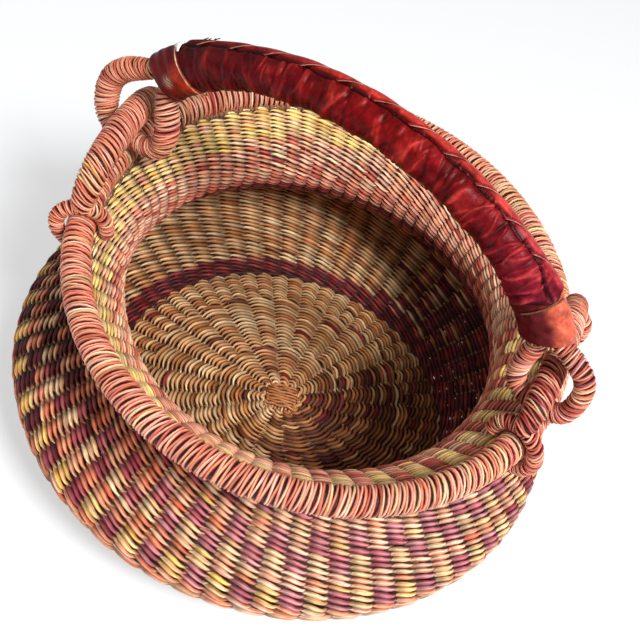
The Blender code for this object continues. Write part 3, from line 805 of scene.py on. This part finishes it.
def wound(name, part, points, radii, dyes, closed=False, frames=None, tilt=0.35, toward=0.0, pair=0.22,
          pitch=FINE_PITCH):
    """One strand wound closely round a path from end to end, over a core coloured near black as painted shade in
    the gaps between turns. Its turns lean by tilt, and meet in pairs, as a strand does that is pulled tight by hand.
    dyes(share) gives the dye numbers of the turns, by their share of the path. A closed path ends on its first point."""
    at = lengths(points)
    full = at[-1]
    across, third = frames or carry(points)
    turns = max(2 * int(round(full / pitch / 2)), 2)
    count = turns * WIND_STEPS + (0 if closed else 1)
    t = np.arange(count) / WIND_STEPS
    turn = TAU * t
    loop = np.minimum(t.astype(int), turns - 1)

    def wave(knots):
        return ripple((1,), max(knots, 2), count)[0]

    lean = tilt * (1 + LEAN_CHANCE * wave(turns // 3))
    drift = math.pi * wave(turns // 9)
    meet = pair * np.cos(PAIR_RATE * turn + drift) + MEET_CHANCE * wave(turns)
    even = full * t / turns
    place = even + pitch * meet + lean * np.interp(even, at, radii) * np.sin(turn - toward)
    place = place % full if closed else np.clip(place, 0, full)
    u, v = unit(sample(place, at, across)), unit(sample(place, at, third))
    out = np.cos(turn)[:, None] * u + np.sin(turn)[:, None] * v
    lift = LIFT_SWING * np.sin(PAIR_RATE * turn + drift) + LIFT_CHANCE * wave(turns * 2)
    inset = WIND_DEPTH * (WIND_INSET - WIND_LIFT * lift)
    centres = sample(place, at, points) + (np.interp(place, at, radii) - inset)[:, None] * out
    half_width = pitch * (WIND_WIDTH + WIND_WIDTH_CHANCE * wave(turns * 3))
    numbers = dyes(np.arange(turns) / turns)[loop]
    share = 0.42 + 0.40 * spread(turns)[loop] + 0.35 * wave(turns * 2)
    value = 1 + 0.20 * spread(turns)[loop] + 0.10 * wave(turns * 2)
    along = np.linalg.norm(np.gradient(centres, axis=0), axis=1).cumsum()
    strands(f"{name}_winding", part, centres[None], out[None], half_width[None], WIND_DEPTH, SIDES, closed,
            [a[None] for a in dyed(numbers, share, value)], along[None], WIND_STEPS)
    points, across, at, radii = (a[:-1] if closed else a for a in (points, across, at, radii))
    size = (radii - WIND_DEPTH * CORE_INSET)[None]
    strands(f"{name}_core", part, points[None], across[None], size, size, CORE_SIDES, closed, [CORE_SHADE] * 3,
            at[None], len(at))


# The rim and its ears

RIM_STEPS = 720
RIM_TILT, RIM_TOWARD, RIM_PAIR = 0.17, radians(60), 0.23
EAR_FOOT = RIM_ROLL + GAP + HITCH_STRAND
EAR_STEPS = 120
HITCH_POINTS = 60
HITCH_TILT = 0.3


def rim_point(az):
    return woven(az, RIM_RADIUS, RIM_HEIGHT)


def round_rim(az, turn):
    return np.stack([np.cos(turn) * np.cos(az), np.cos(turn) * np.sin(az), np.sin(turn)], -1)


def rim_dyes(share):
    pale, left = within(share * TAU, *RIM_PALE_SIDE), within(share * TAU, *RIM_LEFT_SIDE)
    return choose(share.shape, blush=1.0, salmon=0.35 + 0.9 * left, cream=0.30 + 1.0 * pale, straw=0.4 * pale,
                  rose=0.16)


def make_rim():
    az = np.linspace(0, TAU, RIM_STEPS + 1)
    points = rim_point(az)
    way = unit(np.roll(points[:-1], -1, 0) - np.roll(points[:-1], 1, 0))
    way = np.concatenate([way, way[:1]])
    across = round_rim(az, 0 * az)
    across = unit(across - way * np.sum(across * way, -1, keepdims=True))
    wound("rim", on_basket("rim_roll", "pink_grass", WOUND), points, np.full(len(points), RIM_ROLL), rim_dyes, True,
          (across, np.cross(across, way)), RIM_TILT, RIM_TOWARD, RIM_PAIR, WIND_PITCH)


def ear_point(side, share):
    """Points of an ear's middle line: share runs from -1 at one foot to 1 at the other."""
    arch = np.maximum(1 - np.abs(share) ** EAR_SQUARENESS, 0.0) ** (1 / EAR_SQUARENESS)
    feet = rim_point(EAR_AZIMUTHS[side] + np.array((-1.0, 1.0)) * EAR_HALF_ANGLE)
    line = blend(feet[0], feet[1], ((1 + share) / 2)[:, None])
    line[:, 2] += EAR_FOOT + (EAR_HEIGHTS[side] - EAR_FOOT) * arch
    return line


def ear_dyes(side):
    def dyes(share):
        if side == "left":
            return choose(share.shape, blush=0.7, salmon=0.9, cream=0.25, yellow=0.25 * (share > 0.7), rose=0.15)
        return choose(share.shape, blush=1.0, salmon=0.4, rose=0.9, plum=0.15, cream=0.15)
    return dyes


def make_ear(side):
    part = on_basket(f"ear_{side}", "pink_grass", WOUND)
    turn = np.linspace(-math.pi / 2, math.pi / 2, EAR_STEPS + 1)
    radii = EAR_FOOT_STRAND + (EAR_STRANDS[side] - EAR_FOOT_STRAND) * np.maximum(np.cos(turn), 0) ** 0.5
    wound(f"ear_{side}", part, ear_point(side, np.sin(turn)), radii, ear_dyes(side))
    turn = np.linspace(HITCH_INNER_END, HITCH_OUTER_END, HITCH_POINTS)
    for number, place in enumerate((-1, 1)):
        az = EAR_AZIMUTHS[side] + place * EAR_HALF_ANGLE
        wound(f"ear_{side}_hitch_{number + 1}", part, rim_point(az) + EAR_FOOT * round_rim(az, turn),
              np.full(HITCH_POINTS, HITCH_STRAND), ear_dyes(side), tilt=HITCH_TILT)


# The handle's line. In its own frame the hinge is the x axis.

def rim_crossing(side):
    """Where the hinge's line crosses the rim's middle line."""
    x = -RIM_RADIUS if side == "left" else RIM_RADIUS
    for _ in range(6):
        point = rim_point(math.atan2(-HINGE_SHIFT, x))
        x = point[0]
    return point


HINGE = np.array((0.0, -HINGE_SHIFT, max(rim_crossing(s)[2] for s in EAR_AZIMUTHS) + RIM_ROLL + GAP + RING_STRAND))


def placed(points):
    """From the handle's own frame to the basket's."""
    c, s = math.cos(-HANDLE_LEAN), math.sin(-HANDLE_LEAN)
    x, y, z = np.moveaxis(points, -1, 0)
    return np.stack([x, y * c - z * s, y * s + z * c], -1) + HINGE


def handle_points(turn):
    full = np.maximum(np.cos(turn), 0.0) ** HANDLE_FULLNESS
    rise = CUFF_RISE + (HANDLE_RISE - CUFF_RISE) * full - HANDLE_SKEW * np.sin(turn)
    return np.stack([HANDLE_HALF_SPAN * np.sin(turn) + HANDLE_SIDE_SHIFT, 0 * turn, rise], -1)


HANDLE_LINE = handle_points(np.linspace(HANDLE_ENDS["left"], HANDLE_ENDS["right"], 401))
HANDLE_AT = lengths(HANDLE_LINE)
HANDLE_WAY = unit(np.gradient(HANDLE_LINE, axis=0))
HANDLE_FULL = HANDLE_AT[-1]
GRIP_START = CUFF_LENGTH + GAP
GRIP_END = HANDLE_FULL - GRIP_START


def handle_frame(distance):
    """A point of the handle's line, the way along it and the way out, also for places a little beyond its ends."""
    way = unit(sample(distance, HANDLE_AT, HANDLE_WAY))
    beyond = distance - np.clip(distance, 0, HANDLE_FULL)
    point = sample(distance, HANDLE_AT, HANDLE_LINE) + way * beyond[..., None]
    return point, way, np.stack([-way[..., 2], 0 * way[..., 0], way[..., 0]], -1)


def handle_surface(distance, turn, inset):
    """Points on the handle: the turn runs round it from its outer line, and the inset is the depth under its face."""
    point, _, out = handle_frame(distance)
    share = 1 - smooth(np.minimum(distance, HANDLE_FULL - distance) / SWELL_LENGTH)
    width = GRIP_RADIUS + (CUFF_HALF_WIDTH - GRIP_RADIUS) * share - inset
    depth = GRIP_RADIUS + (CUFF_HALF_DEPTH - GRIP_RADIUS) * share - inset
    side = np.zeros_like(point)
    side[..., 1] = 1.0
    return placed(point + (np.cos(turn) * width)[..., None] * out - (np.sin(turn) * depth)[..., None] * side)


def on_handle(node_names, slot, finish):
    return "handle", node_names, slot, finish


def lay(name, part, distance, turn, inset, half_width, half_depth, tints, sides=SIDES):
    """Strands laid on the handle's surface, by their distance along it and their turn round it."""
    distance, turn, inset = np.broadcast_arrays(distance, turn, inset)
    centres = handle_surface(distance, turn, inset)
    out = unit(handle_surface(distance, turn, inset - PROBE) - centres)
    along = np.linalg.norm(np.gradient(centres, axis=1), axis=-1).cumsum(-1)
    strands(name, part, centres, out, half_width, half_depth, sides, False, tints, along, distance.shape[1])


# The handle's rings. Their thickness goes by the CAD sections: one step in the handle, then six along each curve.

RING_STEPS = 60
CURVE_SECTIONS = 6
LEG_SECTIONS = 1 + 2 * CURVE_SECTIONS
INSERT_SHARES = np.linspace(0, 1, 5)[:-1]
CURVE_SHARES = np.linspace(0, 1, RING_STEPS + 1)
LEG_PLACES = np.concatenate([INSERT_SHARES, 1 + CURVE_SECTIONS * CURVE_SHARES,
                             1 + CURVE_SECTIONS + CURVE_SECTIONS * CURVE_SHARES[1:]])


def strand_reach(side):
    """Where the hinge's line crosses the ear's middle line."""
    foot, other = ear_point(side, np.array([-1.0, 1.0]))
    share = 2 * (-HINGE_SHIFT - foot[1]) / (other[1] - foot[1]) - 1
    return ear_point(side, np.array([share]))[0, 0]


def ring_leg(side, lean):
    """Half a ring, from its end in the handle to its lowest point. lean is 1 for the outer half and -1 for the inner."""
    onward = -1 if side == "left" else 1
    at = RING_INSERT if side == "left" else HANDLE_FULL - RING_INSERT
    point, way, out = (a[0] for a in handle_frame(np.array([at])))
    entry = point + out * lean * (RING_END_STRAND + GAP)
    mouth = entry + way * onward * RING_INSERT
    across = np.array((lean * onward, 0.0, 0.0))
    bottom = np.array((rim_crossing(side)[0], 0.0, 0.0))
    shoulder = np.array((strand_reach(side), 0.0, RING_SHOULDER)) + across * RING_HALF_WIDTHS[side]
    down = np.array((0.0, 0.0, -1.0))
    upper = stretch(mouth, way * onward, shoulder, down, RING_UPPER_SHARES, RING_STEPS)
    lower = stretch(shoulder, down, bottom, -across, RING_LOWER_SHARES, RING_STEPS)
    return np.concatenate([entry + (mouth - entry) * INSERT_SHARES[:, None], upper, lower[1:]])


def ring_dyes(side):
    def dyes(share):
        ends = np.abs(share - 0.5) > 0.38
        if side == "left":
            return choose(share.shape, blush=0.7, salmon=1.0, cream=0.2, yellow=0.7 * ends, rose=0.2)
        return choose(share.shape, blush=0.9, rose=0.9, salmon=0.4, cream=0.15 + 0.2 * ends, plum=0.15)
    return dyes


def make_ring(side):
    points = placed(np.concatenate([ring_leg(side, -1), ring_leg(side, 1)[-2::-1]]))
    section = np.concatenate([LEG_PLACES, 2 * LEG_SECTIONS - LEG_PLACES[-2::-1]])
    neck = smooth(np.minimum(section, 2 * LEG_SECTIONS - section) / RING_NECK_STEPS)
    swell = RING_SWELLS[side] * np.sin(math.pi * section / LEG_SECTIONS) ** 2
    radii = RING_END_STRAND + (RING_STRAND - RING_END_STRAND) * neck + swell
    wound(f"ring_{side}", on_handle([f"handle_ring_{side}"], "pink_grass", WOUND), points, radii, ring_dyes(side),
          frames=carry(points, (0, 1, 0)))


# The handle's leather

HIDE_SIDES = 96
INNER_RINGS = 25
# The leather's inner face is darkened: painted shade inside the tube
INNER_SHADE = 0.5
SLEEVE_RINGS, CUFF_RINGS = 640, 60
GRIP_DYES = np.array(((0.050, 0.001, 0.002), (0.10, 0.001, 0.003), (0.17, 0.002, 0.003), (0.15, 0.003, 0.005),
                      (0.15, 0.005, 0.016)))
# Scuffs on raised hide, also standing in as a painted highlight
SCUFF_AND_HIGHLIGHT_DYE = np.array((0.15, 0.026, 0.014))
SEAM_TURN, SEAM_WAVER, SEAM_SWING = radians(12), 0.05, radians(26)
SEAM_SWING_START, SEAM_SWING_LENGTH = 0.026, 0.024
SEAM_DEPTH, SEAM_WIDTH, SEAM_LINE_WIDTH = 0.0015, 0.085, 0.07
RIDGE_TURNS = (radians(-58), radians(4))
RIDGE_EDGES = (0.35, 0.12)
LACE_FIRST = GRIP_START + LACE_MARGIN
LACE_SPACING = (HANDLE_FULL - 2 * LACE_FIRST) / (LACE_COUNT - 1)
PETAL_HEIGHT, PETAL_LENGTH, RIDGE_HEIGHT = 0.0013, 0.0028, 0.0002
GRIP_TAPER = 0.004
GRIP_SINK = 0.0006
GRIP_RELIEF = 0.0009
FOLD_HEIGHT = 0.0007
FOLD_BEND = 0.0012
FOLD_COUNT = 170
FOLD_TURN = radians(80)
# The least and most of each fold's shift from its even place, turn, width, reach round the handle, height and slant
FOLD_RANGES = ((-0.0012, 0.0012), (-1.2, 1.3), (0.0005, 0.0013), (0.45, 1.25), (-0.55, 1.0), (-0.004, 0.003))
CUFF_EDGE_START, CUFF_EDGE_SLANT = CUFF_LENGTH - 0.0015, 0.0075
POINT_DEPTH = 0.0048
# Width of the painted shadow along the grip's cut end
EDGE_SHADOW_WIDTH = 0.0006
# The cuffs' shaded and lit reds: painted shade and painted light
CUFF_LEFT_SHADED_AND_LIT = np.array(((0.085, 0.003, 0.004), (0.56, 0.038, 0.006)))
CUFF_RIGHT_SHADED_AND_LIT = np.array(((0.075, 0.004, 0.006), (0.56, 0.105, 0.055)))
WORN_DYE = np.array((0.50, 0.27, 0.14))
WORN_AT, WORN_LENGTH = 0.0085, 0.0026


def hide_tube(name, part, start, end, outer, inner, steps, height, colour):
    """A leather tube with thickness. height(s, turn) raises its outer face, colour(s, turn, height) tints it."""
    s, turn = np.broadcast_arrays(np.linspace(start, end, steps + 1)[:, None], TAU * np.arange(HIDE_SIDES) / HIDE_SIDES)
    lift = height(s, turn)
    tint = colour(s, turn, lift)
    few = np.linspace(steps, 0, INNER_RINGS).round().astype(int)
    verts = np.concatenate([handle_surface(s, turn, outer - lift), handle_surface(s[few], turn[few], inner)])
    rows = len(verts)
    index = np.arange(rows * HIDE_SIDES).reshape(rows, HIDE_SIDES)
    there = np.roll(index, -1, 0)
    quads = np.stack([index, there, np.roll(there, -1, 1), np.roll(index, -1, 1)], -1).reshape(-1, 4)
    # Inner face darkened as painted shade
    tints = np.concatenate([tint, tint[few] * INNER_SHADE])
    ring = np.arange(rows)[:, None] / rows
    side = np.arange(HIDE_SIDES)[None] / HIDE_SIDES
    uv = np.stack([np.stack(np.broadcast_arrays(ring + a / rows, side + b / HIDE_SIDES), -1)
                   for a, b in ((0, 0), (1, 0), (1, 1), (0, 1))], 2).reshape(-1, 2)
    add_mesh(name, part, verts.reshape(-1, 3), quads, np.zeros((0, 3), int), tints.reshape(-1, 3), verts.reshape(-1, 3),
             uv)


def seam_turn(s):
    """The seam's turn round the handle: it wavers, and swings inwards beyond the last thong."""
    swing = smooth((s - GRIP_END + SEAM_SWING_START) / SEAM_SWING_LENGTH)
    return SEAM_TURN + SEAM_WAVER * np.sin(s * 260) + SEAM_SWING * swing


def lace_offset(s, turn):
    """The distance along the handle to the nearest thong's line, which slants over the ridge."""
    k = (turn - LACE_FRONT) / (LACE_BACK - LACE_FRONT)
    q = (s - (k - 0.5) * LACE_ADVANCE - LACE_FIRST) / LACE_SPACING
    return (q - np.round(q)) * LACE_SPACING


def on_ridge(turn):
    """One on the ridge that the thongs cross, nought away from it."""
    low, high = RIDGE_TURNS
    return smooth((away(turn, 0) - low) / RIDGE_EDGES[0]) * smooth((high - away(turn, 0)) / RIDGE_EDGES[1])


def grip_share(s):
    return np.clip((s - GRIP_START) / (GRIP_END - GRIP_START), 0, 1)


def grip_dye(s):
    return sample(grip_share(s), np.linspace(0, 1, len(GRIP_DYES)), GRIP_DYES)


def make_folds():
    rng = np.random.default_rng(11)
    folds = np.stack([rng.uniform(low, high, FOLD_COUNT) for low, high in FOLD_RANGES], 1)
    folds[:, 0] += np.linspace(GRIP_START, GRIP_END, FOLD_COUNT)
    folds[:, 1] += FOLD_TURN
    return folds


FOLDS = make_folds()


def grip_folds(s, turn):
    """The height of the folds that cross the hide."""
    total = 0 * s
    for middle, at, width, reach, height, slant in FOLDS:
        around = away(turn, at)
        bend = FOLD_BEND * np.sin(3 * around + middle * 900)
        total = total + height * np.exp(-((s - middle - slant * around - bend) / width) ** 2 - (around / reach) ** 2)
    return total


def grip_lift(s, turn):
    """Petals between the thongs along the ridge, the sunk seam beside it, and lumps and folds over the rest."""
    ends = smooth((s - GRIP_START) / GRIP_TAPER) * smooth((GRIP_END - s) / GRIP_TAPER)
    ridge = on_ridge(turn)
    lace = lace_offset(s, away(turn, 0))
    petal = ridge * (PETAL_HEIGHT * (1 - np.exp(-(lace / PETAL_LENGTH) ** 2)) + RIDGE_HEIGHT)
    seam = np.exp(-(away(turn, seam_turn(s)) / SEAM_WIDTH) ** 2)
    lumps = 0.0003 * np.sin(s * 160 + 2 * np.sin(turn)) + 0.0002 * np.sin(s * 331 + 3 * np.cos(turn))
    crossed = (1 - ridge) * FOLD_HEIGHT * (1 + grip_share(s)) * np.tanh(1.5 * grip_folds(s, turn))
    return ends * (petal - SEAM_DEPTH * seam + lumps * (1 - 0.6 * ridge) + crossed) - GRIP_SINK


def cuff_edge(turn):
    """Where the left cuff's slanting edge lies on the handle: further along below than above."""
    return CUFF_EDGE_START + CUFF_EDGE_SLANT * smooth(away(turn, radians(20)) / 2.4)


def grip_point(turn):
    """Where the grip's cut end lies on the handle: it runs to a point along the seam."""
    return GRIP_END - POINT_DEPTH * (1 - np.exp(-(away(turn, seam_turn(GRIP_END)) / 0.75) ** 2))


def grip_colour(s, turn, lift):
    """Oxblood that lightens to the right, with the cuffs' colours at its ends. What stands up carries scuffs and a
    painted highlight, the creases between get painted shade, a dark line of painted shade runs in the seam's groove,
    and a painted shadow lines the grip's cut end.
    """
    along = grip_share(s)[..., None]
    tint = grip_dye(s)
    # Raised hide: scuffs and a painted highlight; sunk hide in the creases: painted shade
    high = np.clip((lift + GRIP_SINK) / GRIP_RELIEF, -1, 1)[..., None]
    scuff_and_highlight = tint * 1.15 + SCUFF_AND_HIGHLIGHT_DYE * (0.10 + 0.90 * np.sin(math.pi * along * 0.8))
    tint = blend(tint, scuff_and_highlight, 0.6 * np.clip(high, 0, 1) ** 2)
    tint = tint * (0.78 + 0.55 * high) * (1 + 0.25 * on_ridge(turn)[..., None] * along)
    # A dark line in the seam's groove: painted shade
    tint = tint * (1 - 0.85 * np.exp(-(away(turn, seam_turn(s)) / SEAM_LINE_WIDTH) ** 2)[..., None])
    # A dark line along the grip's cut end: a painted shadow under the edge of the hide
    past = (s - grip_point(turn))[..., None]
    edge_shadow = np.exp(-(past / EDGE_SHADOW_WIDTH) ** 2)
    tint = blend(tint, cuff_right_colour(s, turn, lift), smooth(past / 0.0003 + 0.5)) * (1 - 0.93 * edge_shadow)
    under_cuff = smooth((cuff_edge(turn) - s) / 0.0004 + 0.5) * (away(turn, radians(95)) > -1.4)
    return blend(tint, cuff_left_colour(s, turn, lift), under_cuff[..., None])


def cuff_lift(s, turn):
    bend = 0.5 * np.sin(2 * turn + 0.6) + 0.3 * np.sin(3 * turn + 2)
    return 0.00022 * np.sin(s * 1100 + 4 * bend) * np.sin(turn + 1) + 0.00018 * np.sin(s * 520 + 6 * bend) - 0.0004


def cuff_left_colour(s, turn, lift):
    """A shaded dark oxblood towards the basket's middle and over the top and a lit orange-red below, as painted shade
    and painted light, with a worn patch.
    """
    lit = smooth(0.95 * np.cos(away(turn, radians(110))) - 0.60 + 40 * (s - 0.011))[..., None]
    worn = np.exp(-((s - WORN_AT) / WORN_LENGTH) ** 2 - (away(turn, radians(98)) / 0.20) ** 2)[..., None]
    speck = 0.5 + 0.5 * np.sin(s * 3100 + 5 * np.sin(turn * 9))[..., None]
    return blend(blend(*CUFF_LEFT_SHADED_AND_LIT, lit), WORN_DYE * speck + 0.05, worn)


def cuff_right_colour(s, turn, lift):
    # Shaded dark red turning to lit orange-red round the cuff: painted shade and painted light, with darker bands
    lit = smooth(0.5 - 1.3 * away(turn, radians(52)))[..., None]
    return blend(*CUFF_RIGHT_SHADED_AND_LIT, lit) * (0.85 + 0.3 * np.sin(turn * 5 + s * 400)[..., None] ** 2)


def make_handle():
    hide_tube("leather_sleeve", on_handle(["leather_grip"], "oxblood_leather", HIDE), GRIP_START, GRIP_END, -SLEEVE_STEP,
              LEATHER, SLEEVE_RINGS, grip_lift, grip_colour)
    for side, start, end, colour in (("left", 0.0, CUFF_LENGTH, cuff_left_colour),
                                     ("right", HANDLE_FULL - CUFF_LENGTH, HANDLE_FULL, cuff_right_colour)):
        hide_tube(f"cuff_{side}_hide", on_handle([f"cuff_{side}"], "red_leather", CUFF_HIDE), start, end, 0.0,
                  CUFF_LEATHER, CUFF_RINGS, cuff_lift, colour)
    make_bundle()
    make_trim()


# Grass inside the handle, small trims at the cuffs, and the lacing

BUNDLE_STRANDS = 22
BUNDLE_POINTS = 90
BUNDLE_START = RING_INSERT + 2 * GAP
BUNDLE_INSET = LEATHER + GAP + 0.0011
HEART_INSET = LEATHER + GAP + 0.0020
HEART_DYE = np.array((0.10, 0.05, 0.02))
TRIM_LEATHER = on_handle([], "lacing_leather", THONG)
TRIM_GRASS = on_handle([], "plain_grass", NATURAL)
TRIM_POINTS = 12
SKIVED_DYE, SKIVED_SIDE_DYE = np.array((0.66, 0.40, 0.24)), np.array((0.22, 0.05, 0.03))
CHIP_DYE = np.array((0.86, 0.80, 0.72))
THREAD_COUNT = 4
THREAD_DYE = np.array((0.05, 0.025, 0.02))
# The grass ends at the cuffs: label, where they start, how far they run and their count
GRASS_ENDS = (("right", HANDLE_FULL - 0.012, 0.0135, 12), ("left", 0.012, -0.013, 10))
FIBRE_COUNT = 46
LACE_POINTS = 25
LACE_INSET = -SLEEVE_STEP - GAP + 0.0001
LACE_EDGE_SHIFT = 0.0011
# The pale strip on each thong's edge: a painted highlight
LACE_EDGE_HIGHLIGHT = np.array((0.46, 0.20, 0.14))


def plain_tints(shape, value=1.0, **weights):
    """Strands of undyed grass, each in one of some dyes."""
    numbers = choose((shape[0], 1), **weights) + np.zeros(shape, int)
    return dyed(numbers, np.full(shape, 0.4), np.full(shape, value))


def make_bundle():
    """The grass inside the handle: a dark heart with strands laid along it."""
    part = on_handle(["handle_core"], "plain_grass", NATURAL)
    distance = np.linspace(BUNDLE_START, HANDLE_FULL - BUNDLE_START, BUNDLE_POINTS)
    turn = TAU * np.arange(BUNDLE_STRANDS)[:, None] / BUNDLE_STRANDS
    wave = 0.03 * np.sin(distance * 60 + 9 * turn)
    lay("handle_grass", part, distance, turn + wave, BUNDLE_INSET, 0.0013, 0.0009,
        plain_tints(wave.shape, tan=1.0, straw=1.0, brown=0.5))
    outer, inner, side = (handle_surface(distance, turn, HEART_INSET) for turn in (0.0, math.pi, math.pi / 2))
    middle = (outer + inner) / 2
    size = np.linalg.norm(outer - inner, axis=-1)[None] / 2
    depth = np.linalg.norm(side - middle, axis=-1)[None]
    out = np.cross(unit(np.gradient(middle, axis=0)), unit(outer - inner))
    strands("handle_heart", part, middle[None], out[None], size, depth, CORE_SIDES, False, [HEART_DYE] * 3,
            distance[None], BUNDLE_POINTS)


def make_trim():
    """Small worn things at the cuffs: a pale skived edge, a torn chip, loose threads and grass ends."""
    turn = np.linspace(radians(30), radians(172), 60)[None]
    lay("cuff_left_edge", TRIM_LEATHER, cuff_edge(turn), turn, -0.0012, 0.00050, 0.0004,
        [SKIVED_DYE, SKIVED_SIDE_DYE, SKIVED_SIDE_DYE * 0.3])
    turn = np.linspace(radians(10), radians(38), 9)[None]
    share = np.linspace(1, 0, 9)[None]
    lay("cuff_left_chip", TRIM_LEATHER, CUFF_LENGTH - 0.001 + 0.0016 * (1 - share), turn, -0.0011, 0.0005 + 0.0034 * share,
        0.0004, [CHIP_DYE] * 3)
    rng = np.random.default_rng(7)
    k = np.linspace(0, 1, TRIM_POINTS)[None]

    def drawn(low, high, count):
        return rng.uniform(low, high, (count, 1))

    distance = GRIP_START + 0.003 + 0.010 * drawn(0, 1, THREAD_COUNT) + k * drawn(0.004, 0.007, THREAD_COUNT)
    turn = radians(-35) + drawn(-0.3, 0.5, THREAD_COUNT) + 0.12 * k
    lay("loose_threads", TRIM_LEATHER, distance, turn, -SLEEVE_STEP - 0.0004 - drawn(0.0010, 0.0022, THREAD_COUNT) * k,
        0.00028, 0.00028, [THREAD_DYE] * 3)
    for label, start, reach, count in GRASS_ENDS:
        turn = radians(88) + np.linspace(-0.45, 0.45, count)[:, None]
        lay(f"grass_{label}_ends", TRIM_GRASS, start + k * reach * drawn(0.88, 1.12, count),
            turn + 0.04 * np.sin(9 * k + turn * 40), CUFF_LEATHER + 0.0015, 0.0007, 0.0006,
            plain_tints((count, TRIM_POINTS), tan=1.0, straw=0.8, brown=0.8))
    turn = radians(62) + np.linspace(-1.0, 0.9, FIBRE_COUNT)[:, None]
    lay("torn_edge_fibres", TRIM_GRASS, HANDLE_FULL - CUFF_LENGTH + 0.0001 + k * drawn(0.0005, 0.0011, FIBRE_COUNT),
        turn, -0.0004 + 0.0002 * k, 0.0003, 0.0003, plain_tints((FIBRE_COUNT, TRIM_POINTS), 0.5, tan=0.5, brown=1.0))


def make_laces():
    """Thongs over the seam: a red strap pinched into the hide, with a paler crest and darker underside as painted
    highlight and shade, and a pale strip along one edge as a painted highlight.
    """
    part = on_handle([f"lace_{i + 1:02d}" for i in range(LACE_COUNT)], "lacing_leather", THONG)
    number = np.arange(LACE_COUNT)[:, None]
    k = np.linspace(0, 1, LACE_POINTS)[None]
    distance = LACE_FIRST + LACE_SPACING * number + (k - 0.5) * LACE_ADVANCE
    turn = LACE_FRONT + (LACE_BACK - LACE_FRONT) * k + 0.02 * np.sin(7 * k + number)
    arch = np.sin(math.pi * k) ** 0.5
    tint = grip_dye(distance)
    # The strap's paler crest is a painted highlight and its darker flanks and underside painted shade
    lay("lacing", part, distance, turn, LACE_INSET, 0.0011 * (0.5 + 0.5 * arch), 0.0005,
        [tint * 1.3 + 0.01, tint * 0.6, tint * 0.25], 8)
    # A pale strip along one edge: a painted highlight
    pale = LACE_EDGE_HIGHLIGHT * (0.8 + 0.3 * RNG.uniform(0, 1, (LACE_COUNT, 1, 1)))
    lay("lacing_edges", part, distance + LACE_EDGE_SHIFT, turn, LACE_INSET - 0.0001, 0.00038 * (0.2 + 0.8 * arch),
        0.00030, [pale, pale * 0.6, pale * 0.2])


make_weave()
make_rim()
for ear in EAR_AZIMUTHS:
    make_ear(ear)
    make_ring(ear)
make_handle()
make_laces()


# Floor, lights and camera

FLOOR_HALF = 3.0
FLOOR_DYE = (0.84, 0.875, 0.92, 1)
FLOOR_GLOW_SHARE = 0.5
WORLD_DYE, WORLD_STRENGTH = (1.0, 0.97, 0.94, 1), 0.38
# Name, place, size and power
LAMPS = (("key", (1.20, -0.62, 1.78), 0.58, 64.0), ("fill", (-1.2, -0.9, 1.3), 1.2, 5.0))
LAMP_AIM = Vector((0, 0, 0.08))
# The camera that was fitted to the rim: reach and raise in rim radii, focal length in pixels of the photo's width
ELEVATION, REACH, RAISE, TURN = 0.8513, 4.0, 0.4, radians(19)
PAN, TILT, ROLL = -0.0113, 0.036, -0.3443
FOCAL, PHOTO_WIDTH, SENSOR = 915.3156, 640, 36.0


def make_floor():
    me = bpy.data.meshes.new("floor")
    me.from_pydata([(x * FLOOR_HALF, y * FLOOR_HALF, 0) for x, y in ((-1, -1), (1, -1), (1, 1), (-1, 1))], [],
                   [(0, 1, 2, 3)])
    made, tree, shader = new_material("pale_floor")
    dress(tree, shader, Base_Color=FLOOR_DYE, Roughness=0.85)
    glow = node(tree, "ShaderNodeEmission", Strength=1.0).outputs[0]
    seen = node(tree, "ShaderNodeLightPath").outputs["Is Camera Ray"]
    share = node(tree, "ShaderNodeMath", seen, FLOOR_GLOW_SHARE, operation="MULTIPLY").outputs[0]
    mixed = node(tree, "ShaderNodeMixShader", share, shader.outputs[0], glow).outputs[0]
    feed(tree, tree.nodes["Material Output"], "Surface", mixed)
    me.materials.append(made)
    floor = bpy.data.objects.new("floor", me)
    bpy.context.collection.objects.link(floor)


def make_lights():
    world = bpy.data.worlds.new("studio")
    world.use_nodes = True
    feed(world.node_tree, world.node_tree.nodes["Background"], 0, WORLD_DYE)
    feed(world.node_tree, world.node_tree.nodes["Background"], 1, WORLD_STRENGTH)
    bpy.context.scene.world = world
    for name, place, size, power in LAMPS:
        light = bpy.data.lights.new(name, "AREA")
        light.energy, light.size = power, size
        lamp = bpy.data.objects.new(name, light)
        bpy.context.collection.objects.link(lamp)
        lamp.location = place
        lamp.rotation_mode = "QUATERNION"
        lamp.rotation_quaternion = (Vector(place) - LAMP_AIM).to_track_quat("Z", "Y")


def rotated(v, axis, a):
    return v * math.cos(a) + np.cross(axis, v) * math.sin(a) + axis * (axis @ v) * (1 - math.cos(a))


def make_camera():
    forward = np.array((0.0, math.cos(ELEVATION), -math.sin(ELEVATION)))
    right = np.array((1.0, 0.0, 0.0))
    up = np.cross(right, forward)
    forward, right = rotated(forward, up, PAN), rotated(right, up, PAN)
    forward, up = rotated(forward, right, TILT), rotated(up, right, TILT)
    right, up = rotated(right, forward, ROLL), rotated(up, forward, ROLL)
    place = np.array((0.0, -REACH * math.cos(ELEVATION), REACH * math.sin(ELEVATION) + RAISE)) * RIM_RADIUS
    columns = [(right[i], up[i], -forward[i], place[i]) for i in range(3)]
    data = bpy.data.cameras.new("camera")
    data.sensor_width = SENSOR
    data.lens = SENSOR * FOCAL / PHOTO_WIDTH
    data.clip_start = 0.01
    camera = bpy.data.objects.new("camera", data)
    bpy.context.collection.objects.link(camera)
    camera.matrix_world = Matrix.Rotation(TURN, 4, "Z") @ Matrix((*columns, (0, 0, 0, 1)))
    bpy.context.scene.camera = camera


make_floor()
make_lights()
make_camera()
bpy.context.scene.view_settings.view_transform = "Standard"
